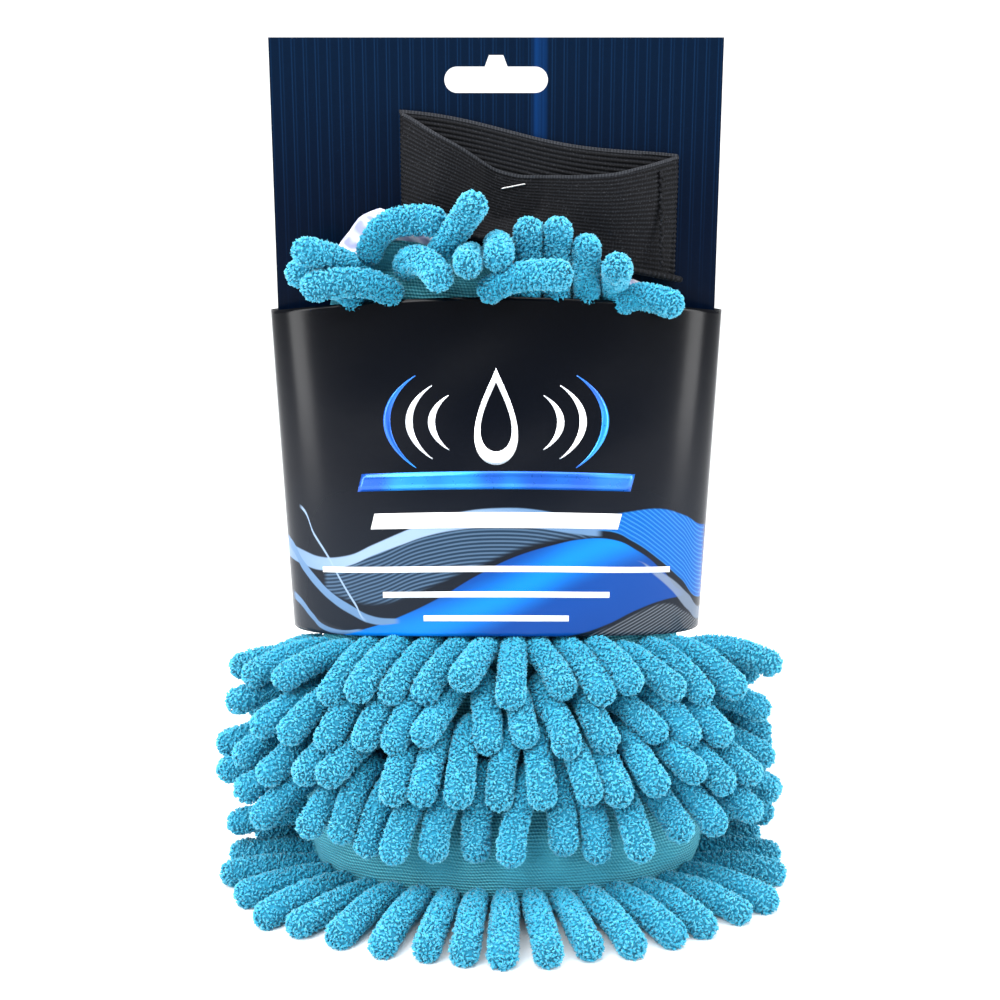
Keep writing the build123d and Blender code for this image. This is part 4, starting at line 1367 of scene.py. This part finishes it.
@dataclass
class Band:
    """The printed band: a tapered closed loop, straight behind the card and bowed in front."""

    board: float = 0.5 * MM
    columns: int = 260
    rows: int = 90

    def __post_init__(self) -> None:
        """Read the band's sizes from its CAD node."""
        low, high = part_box("sleeve_band")
        points = node_points("sleeve_band")
        self.middle = (low.x + high.x) / 2
        self.back = high.y
        front = points[np.abs(points[:, 0] - self.middle) < 6 * MM]
        self.low, self.high = low.z, high.z
        self.rise = front[:, 2].min() - low.z
        self.top = self.high - self.rise
        marks = []
        for height in (self.low + 12 * MM, self.top - 8 * MM):
            cut = slice_points("sleeve_band", height)
            marks.append((height, (cut[:, 0].max() - cut[:, 0].min()) / 2, self.back - cut[:, 1].min()))
        self.marks = marks

    def size(self, z: Array) -> tuple[Array, Array]:
        """Half width and depth at heights, on a straight line through two cuts."""
        (z0, w0, d0), (z1, w1, d1) = self.marks
        share = (z - z0) / (z1 - z0)
        return w0 + (w1 - w0) * share, d0 + (d1 - d0) * share

    def edge(self, x: Array, base: float) -> Array:
        """Height of a curved edge: an arc that rises at the middle, rounded off at the corners."""
        reach = np.abs(x - self.middle) / self.marks[1][1]
        return base + self.rise * (1 - np.clip(reach, 0, 1.05) ** 2)

    def wall(self, around: Array, share: Array, out: float = 0.0) -> Array:
        """Points on the band.

        The first fifth of the way round is the straight back, and the rest is the front, half of
        an oval. Height runs between the two curved edges, and a slow ripple keeps the card from
        being perfectly even.

        Args:
            around: place round the loop from 0 to 1.
            share: share of the height.
            out: distance outside the surface.

        Returns:
            Points with a last axis of three.
        """
        back_part = 0.36
        on_back = around < back_part
        turn = math.pi + math.pi * np.clip((around - back_part) / (1 - back_part), 0, 1)
        back_x = 1 - 2 * np.clip(around / back_part, 0, 1)
        unit_x = np.where(on_back, back_x, np.cos(turn))
        half_guess, _ = self.size(self.low + (self.top - self.low) * share)
        x = self.middle + unit_x * half_guess
        z = self.edge(x, self.low) + (self.edge(x, self.top) - self.edge(x, self.low)) * share
        half, deep = self.size(z)
        x = self.middle + unit_x * (half + out)
        swell = 0.35 * MM * ripple(x, 0 * x, z, 2.6, 90 * MM) * (1 - unit_x ** 2)
        y = np.where(on_back, self.back + out, self.back + (deep + out + swell) * np.sin(turn))
        return np.stack((x, y, z), -1)

    def build(self, wave: bpy.types.Material, board: bpy.types.Material) -> None:
        """Make the band's wall and give it its thickness."""
        around = np.linspace(0, 1, self.columns, endpoint=False)[None, :]
        share = np.linspace(0, 1, self.rows)[:, None]
        outer = self.wall(around + 0 * share, share + 0 * around)
        inner = self.wall(around + 0 * share, share + 0 * around, -self.board)
        points = np.vstack((outer, inner[::-1]))
        rows = 2 * self.rows
        quads = grid_faces(rows, self.columns, True)
        last = np.arange(self.columns) + (rows - 1) * self.columns
        first = np.arange(self.columns)
        close = np.stack((last, np.roll(last, -1), np.roll(first, -1), first), -1)
        surface = Surface(points.reshape(-1, 3), np.vstack((quads, close)))
        piece = make_piece("printed_band", surface, wave)
        settle_piece(piece, ROOT, Finish.BAND, "sleeve_band")
        lap = frame["nodes"]["band_glue_lap"]
        dress(lap, board)

    def decal(
        self, name: str, outline: Callable[[Array, Array], tuple[Array, Array]], size: tuple[int, int],
        ink: bpy.types.Material, lift: float = 0.08 * MM,
    ) -> None:
        """Lay a flat shape on the front of the band.

        Args:
            name: the piece's name.
            outline: from two shares to x from the middle and z.
            size: points along each parameter.
            ink: its finish.
            lift: how far it stands off the band.
        """
        first, second = np.meshgrid(np.linspace(0, 1, size[0]), np.linspace(0, 1, size[1]), indexing="ij")
        x, z = outline(first, second)
        half, deep = self.size(z)
        points = []
        for out in (lift, 0.01 * MM):
            unit_x = np.clip(x / half, -0.995, 0.995)
            swell = 0.35 * MM * ripple(self.middle + x, 0 * x, z, 2.6, 90 * MM) * (1 - unit_x ** 2)
            y = self.back - (deep + out + swell) * np.sqrt(1 - unit_x ** 2)
            points.append(np.stack((self.middle + x, y, z), -1))
        top = Surface(points[0].reshape(-1, 3), grid_faces(*size, False))
        under = Surface(points[1].reshape(-1, 3), grid_faces(*size, False)).flipped()
        count = size[0] * size[1]
        ring = boundary(*size)
        both = top.joined(under)
        side = np.stack((ring, np.roll(ring, -1), np.roll(ring, -1) + count, ring + count), -1)
        both.quads = np.vstack((both.quads, side[:, ::-1]))
        piece = make_piece(name, both, ink)
        recalculate(piece)
        settle_piece(piece, ROOT, Finish.BAND)


def boundary(rows: int, columns: int) -> Array:
    """Vertex numbers round the edge of a grid, in order."""
    numbers = np.arange(rows * columns).reshape(rows, columns)
    return np.concatenate((numbers[0, :-1], numbers[:-1, -1], numbers[-1, :0:-1], numbers[:0:-1, 0]))


def recalculate(piece: bpy.types.Object) -> None:
    """Turn a closed piece's faces outwards."""
    work = bmesh.new()
    work.from_mesh(piece.data)
    bmesh.ops.recalc_face_normals(work, faces=work.faces)
    work.to_mesh(piece.data)
    work.free()


def dress(obj: bpy.types.Object, material: bpy.types.Material) -> None:
    """Give a CAD node a new finish in all its material slots."""
    for place in obj.material_slots:
        place.link = "OBJECT"
        place.material = material


@dataclass
class Artwork:
    """Generic printed shapes on the band: a drop over ripples, and plain bars in place of words."""

    band: Band

    def bar(
        self, name: str, centre: tuple[float, float], size: tuple[float, float], slant: float,
        ink: bpy.types.Material,
    ) -> None:
        """A slanted bar with its lines following the band's curved edges.

        Args:
            name: the piece's name.
            centre: x from the middle and z of its centre.
            size: width and height.
            slant: how far the top leans to the right, as a share of the height.
            ink: its finish.
        """
        def outline(first: Array, second: Array) -> tuple[Array, Array]:
            """Shares of the width and height, bowed as the band's edges are."""
            x = centre[0] + (first - 0.5) * size[0] + (second - 0.5) * size[1] * slant
            bow = self.band.rise * (1 - (x / self.band.marks[1][1]) ** 2)
            return x, centre[1] + bow + (second - 0.5) * size[1]

        count = max(int(size[0] / (1.5 * MM)), 4)
        self.band.decal(name, outline, (count, 4), ink)

    def build(self, foil: bpy.types.Material, blue: bpy.types.Material, white: bpy.types.Material) -> None:
        """Lay out the emblem and the bars."""
        low, span = self.band.low, self.band.top - self.band.low
        height = low + span * 0.715
        size = 15 * MM

        def drop(first: Array, second: Array) -> tuple[Array, Array]:
            """A water drop's outline ring: a circle drawn out to a point at its top."""
            turn = first * 2 * math.pi
            grow = 0.72 + 0.28 * second
            x = size * 0.62 * np.sin(turn) * np.sin(turn / 2) ** 1.3
            z = size * np.cos(turn)
            return x * grow, height + z * grow

        self.band.decal("emblem_drop", drop, (72, 3), foil)
        for step in range(3):
            reach = (20 + 7 * step) * MM

            def arc(first: Array, second: Array, reach: float = reach) -> tuple[Array, Array]:
                """A thin ripple arc beside the drop on one side."""
                turn = (first - 0.5) * 1.5
                wide = reach + (second - 0.5) * 2.2 * MM * np.cos(turn * 1.9).clip(0, 1)
                return wide * np.cos(turn), height - 2 * MM + wide * np.sin(turn) * 0.62

            def arc_left(first: Array, second: Array, arc: Callable = arc) -> tuple[Array, Array]:
                """The same arc mirrored."""
                x, z = arc(first, second)
                return -x, z

            self.band.decal(f"ripple_right_{step + 1}", arc, (30, 3), foil if step < 2 else blue)
            self.band.decal(f"ripple_left_{step + 1}", arc_left, (30, 3), foil if step < 2 else blue)
        rows = (
            ("blue_bar", 0.470, 5.6, 86.0, 0.25, blue),
            ("wide_bar", 0.352, 5.0, 78.0, 0.25, white),
            ("thin_bar_1", 0.205, 1.9, 112.0, 0.0, white),
            ("thin_bar_2", 0.128, 1.9, 72.0, 0.0, white),
            ("thin_bar_3", 0.055, 1.9, 46.0, 0.0, white),
        )
        for name, share, tall, wide, slant, ink in rows:
            centre = (0.0, low + span * share)
            self.bar(name, centre, (wide * MM, tall * MM), slant, ink)


@dataclass
class Studio:
    """Plain pale floor, soft lights and the camera."""

    distance: float = 0.451
    height: float = 0.230
    aside: float = 0.0012
    pitch: float = 13.6
    lens: float = 50.4
    sensor: float = 36.0

    def floor(self) -> None:
        """A wide pale floor that curves up behind the object."""
        share = np.linspace(0, 1, 60)
        depth = np.where(
            share < 0.6, -1.5 + share / 0.6 * 2.6, 1.1 + 0.5 * np.sin((share - 0.6) / 0.4 * math.pi / 2),
        )
        rise = np.where(share < 0.6, 0.0, 1.2 * (1 - np.cos((share - 0.6) / 0.4 * math.pi / 2)))
        wide = np.linspace(-2.2, 2.2, 12)
        x, y = np.meshgrid(wide, depth, indexing="ij")
        _, z = np.meshgrid(wide, rise, indexing="ij")
        points = np.stack((x, y, z), -1).reshape(-1, 3)
        tree = Tree("studio_paper")
        tint = tree.mix(tree.noise(3.0), (0.93, 0.935, 0.94), (0.96, 0.962, 0.965))
        paper = tree.shade(Base_Color=tint, Roughness=0.9)
        piece = make_piece("studio_floor", Surface(points, grid_faces(12, 60, False)).flipped(), paper)

    def light(
        self, name: str, place: tuple[float, float, float], aim: tuple[float, float, float],
        size: tuple[float, float], power: float,
    ) -> None:
        """Add a soft rectangular light.

        Args:
            name: its name.
            place: where it stands.
            aim: the point it faces.
            size: its width and height.
            power: its power in watts.
        """
        data = bpy.data.lights.new(name, "AREA")
        data.shape = "RECTANGLE"
        data.size, data.size_y = size
        data.energy = power
        lamp = bpy.data.objects.new(name, data)
        bpy.context.scene.collection.objects.link(lamp)
        way = np.array(aim) - np.array(place)
        lamp.location = place
        yaw = math.atan2(-way[0], way[1])
        pitch = math.atan2(math.hypot(way[0], way[1]), -way[2])
        lamp.rotation_euler = (pitch, 0.0, yaw)

    def build(self) -> None:
        """Set the floor, the lights, the sky and the camera."""
        self.floor()
        card_low, card_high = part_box("backing_card")
        middle = (card_low.x + card_high.x) / 2
        aim = (middle, card_low.y, 0.12)
        self.light("key_light", (-0.75, -0.95, 1.15), aim, (0.9, 0.9), 24.0)
        self.light("fill_light", (0.95, -0.8, 0.75), aim, (0.8, 1.0), 8.0)
        self.light("left_strip", (-0.85, -0.25, 0.25), aim, (0.25, 0.9), 7.0)
        self.light("right_strip", (0.85, -0.25, 0.25), aim, (0.25, 0.9), 7.0)
        self.light("top_light", (0.0, -0.15, 1.3), aim, (1.4, 1.0), 20.0)
        world = bpy.data.worlds.new("studio_sky")
        world.use_nodes = True
        world.node_tree.nodes["Background"].inputs[0].default_value = (0.94, 0.96, 1.0, 1.0)
        world.node_tree.nodes["Background"].inputs[1].default_value = 0.36
        bpy.context.scene.world = world
        data = bpy.data.cameras.new("camera")
        data.lens, data.sensor_width = self.lens, self.sensor
        camera = bpy.data.objects.new("camera", data)
        bpy.context.scene.collection.objects.link(camera)
        camera.location = (middle + self.aside, card_low.y - self.distance, self.height)
        camera.rotation_euler = (math.radians(90 - self.pitch), 0.0, 0.0)
        bpy.context.scene.camera = camera
        bpy.context.scene.view_settings.view_transform = "Standard"


def main() -> None:
    """Build the studio and every sub-assembly, in order."""
    logging.basicConfig(level=logging.INFO, format="%(name)s %(message)s")
    Studio().build()
    card_low, card_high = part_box("backing_card")
    pile = Chenille().material()
    knit = BaseKnit().material()
    elastic = Elastic().material()
    satin = LiningSatin().material()
    board = Board().material()
    dress(frame["nodes"]["backing_card"], StripedCard(top=card_high.z, front=card_low.y).material())
    dress(frame["nodes"]["staple"], Wire().material())
    body = MittBody()
    body.build(knit, satin)
    Cuff().build(elastic, body)
    band = Band()
    band.build(WavePrint(low=band.low, high=band.high, middle=band.middle).material(), board)
    foil = Ink("silver_foil", (0.62, 0.66, 0.72), (0.95, 0.95, 0.97), 0.55).material()
    blue = Ink("blue_foil", (0.01, 0.10, 0.55), (0.02, 0.30, 0.85), 0.6).material()
    white = Ink("white_ink", (0.82, 0.83, 0.84), (0.9, 0.9, 0.9)).material()
    Artwork(band).build(foil, blue, white)
    coat = Pile()
    pressed = Pile(core_radius=2.9 * MM, tuft_height=0.5 * MM, tufts=420, club=0.0, bend=0.0)
    for body_name, nodes in frame["record"]["behaviour"]["bodies"].items():
        for node in nodes:
            if "noodle" in node or "fringe" in node:
                layer = pressed if "pressed" in node else coat
                layer.build(node, body_name, body, pile)


if __name__ == "__main__":
    main()
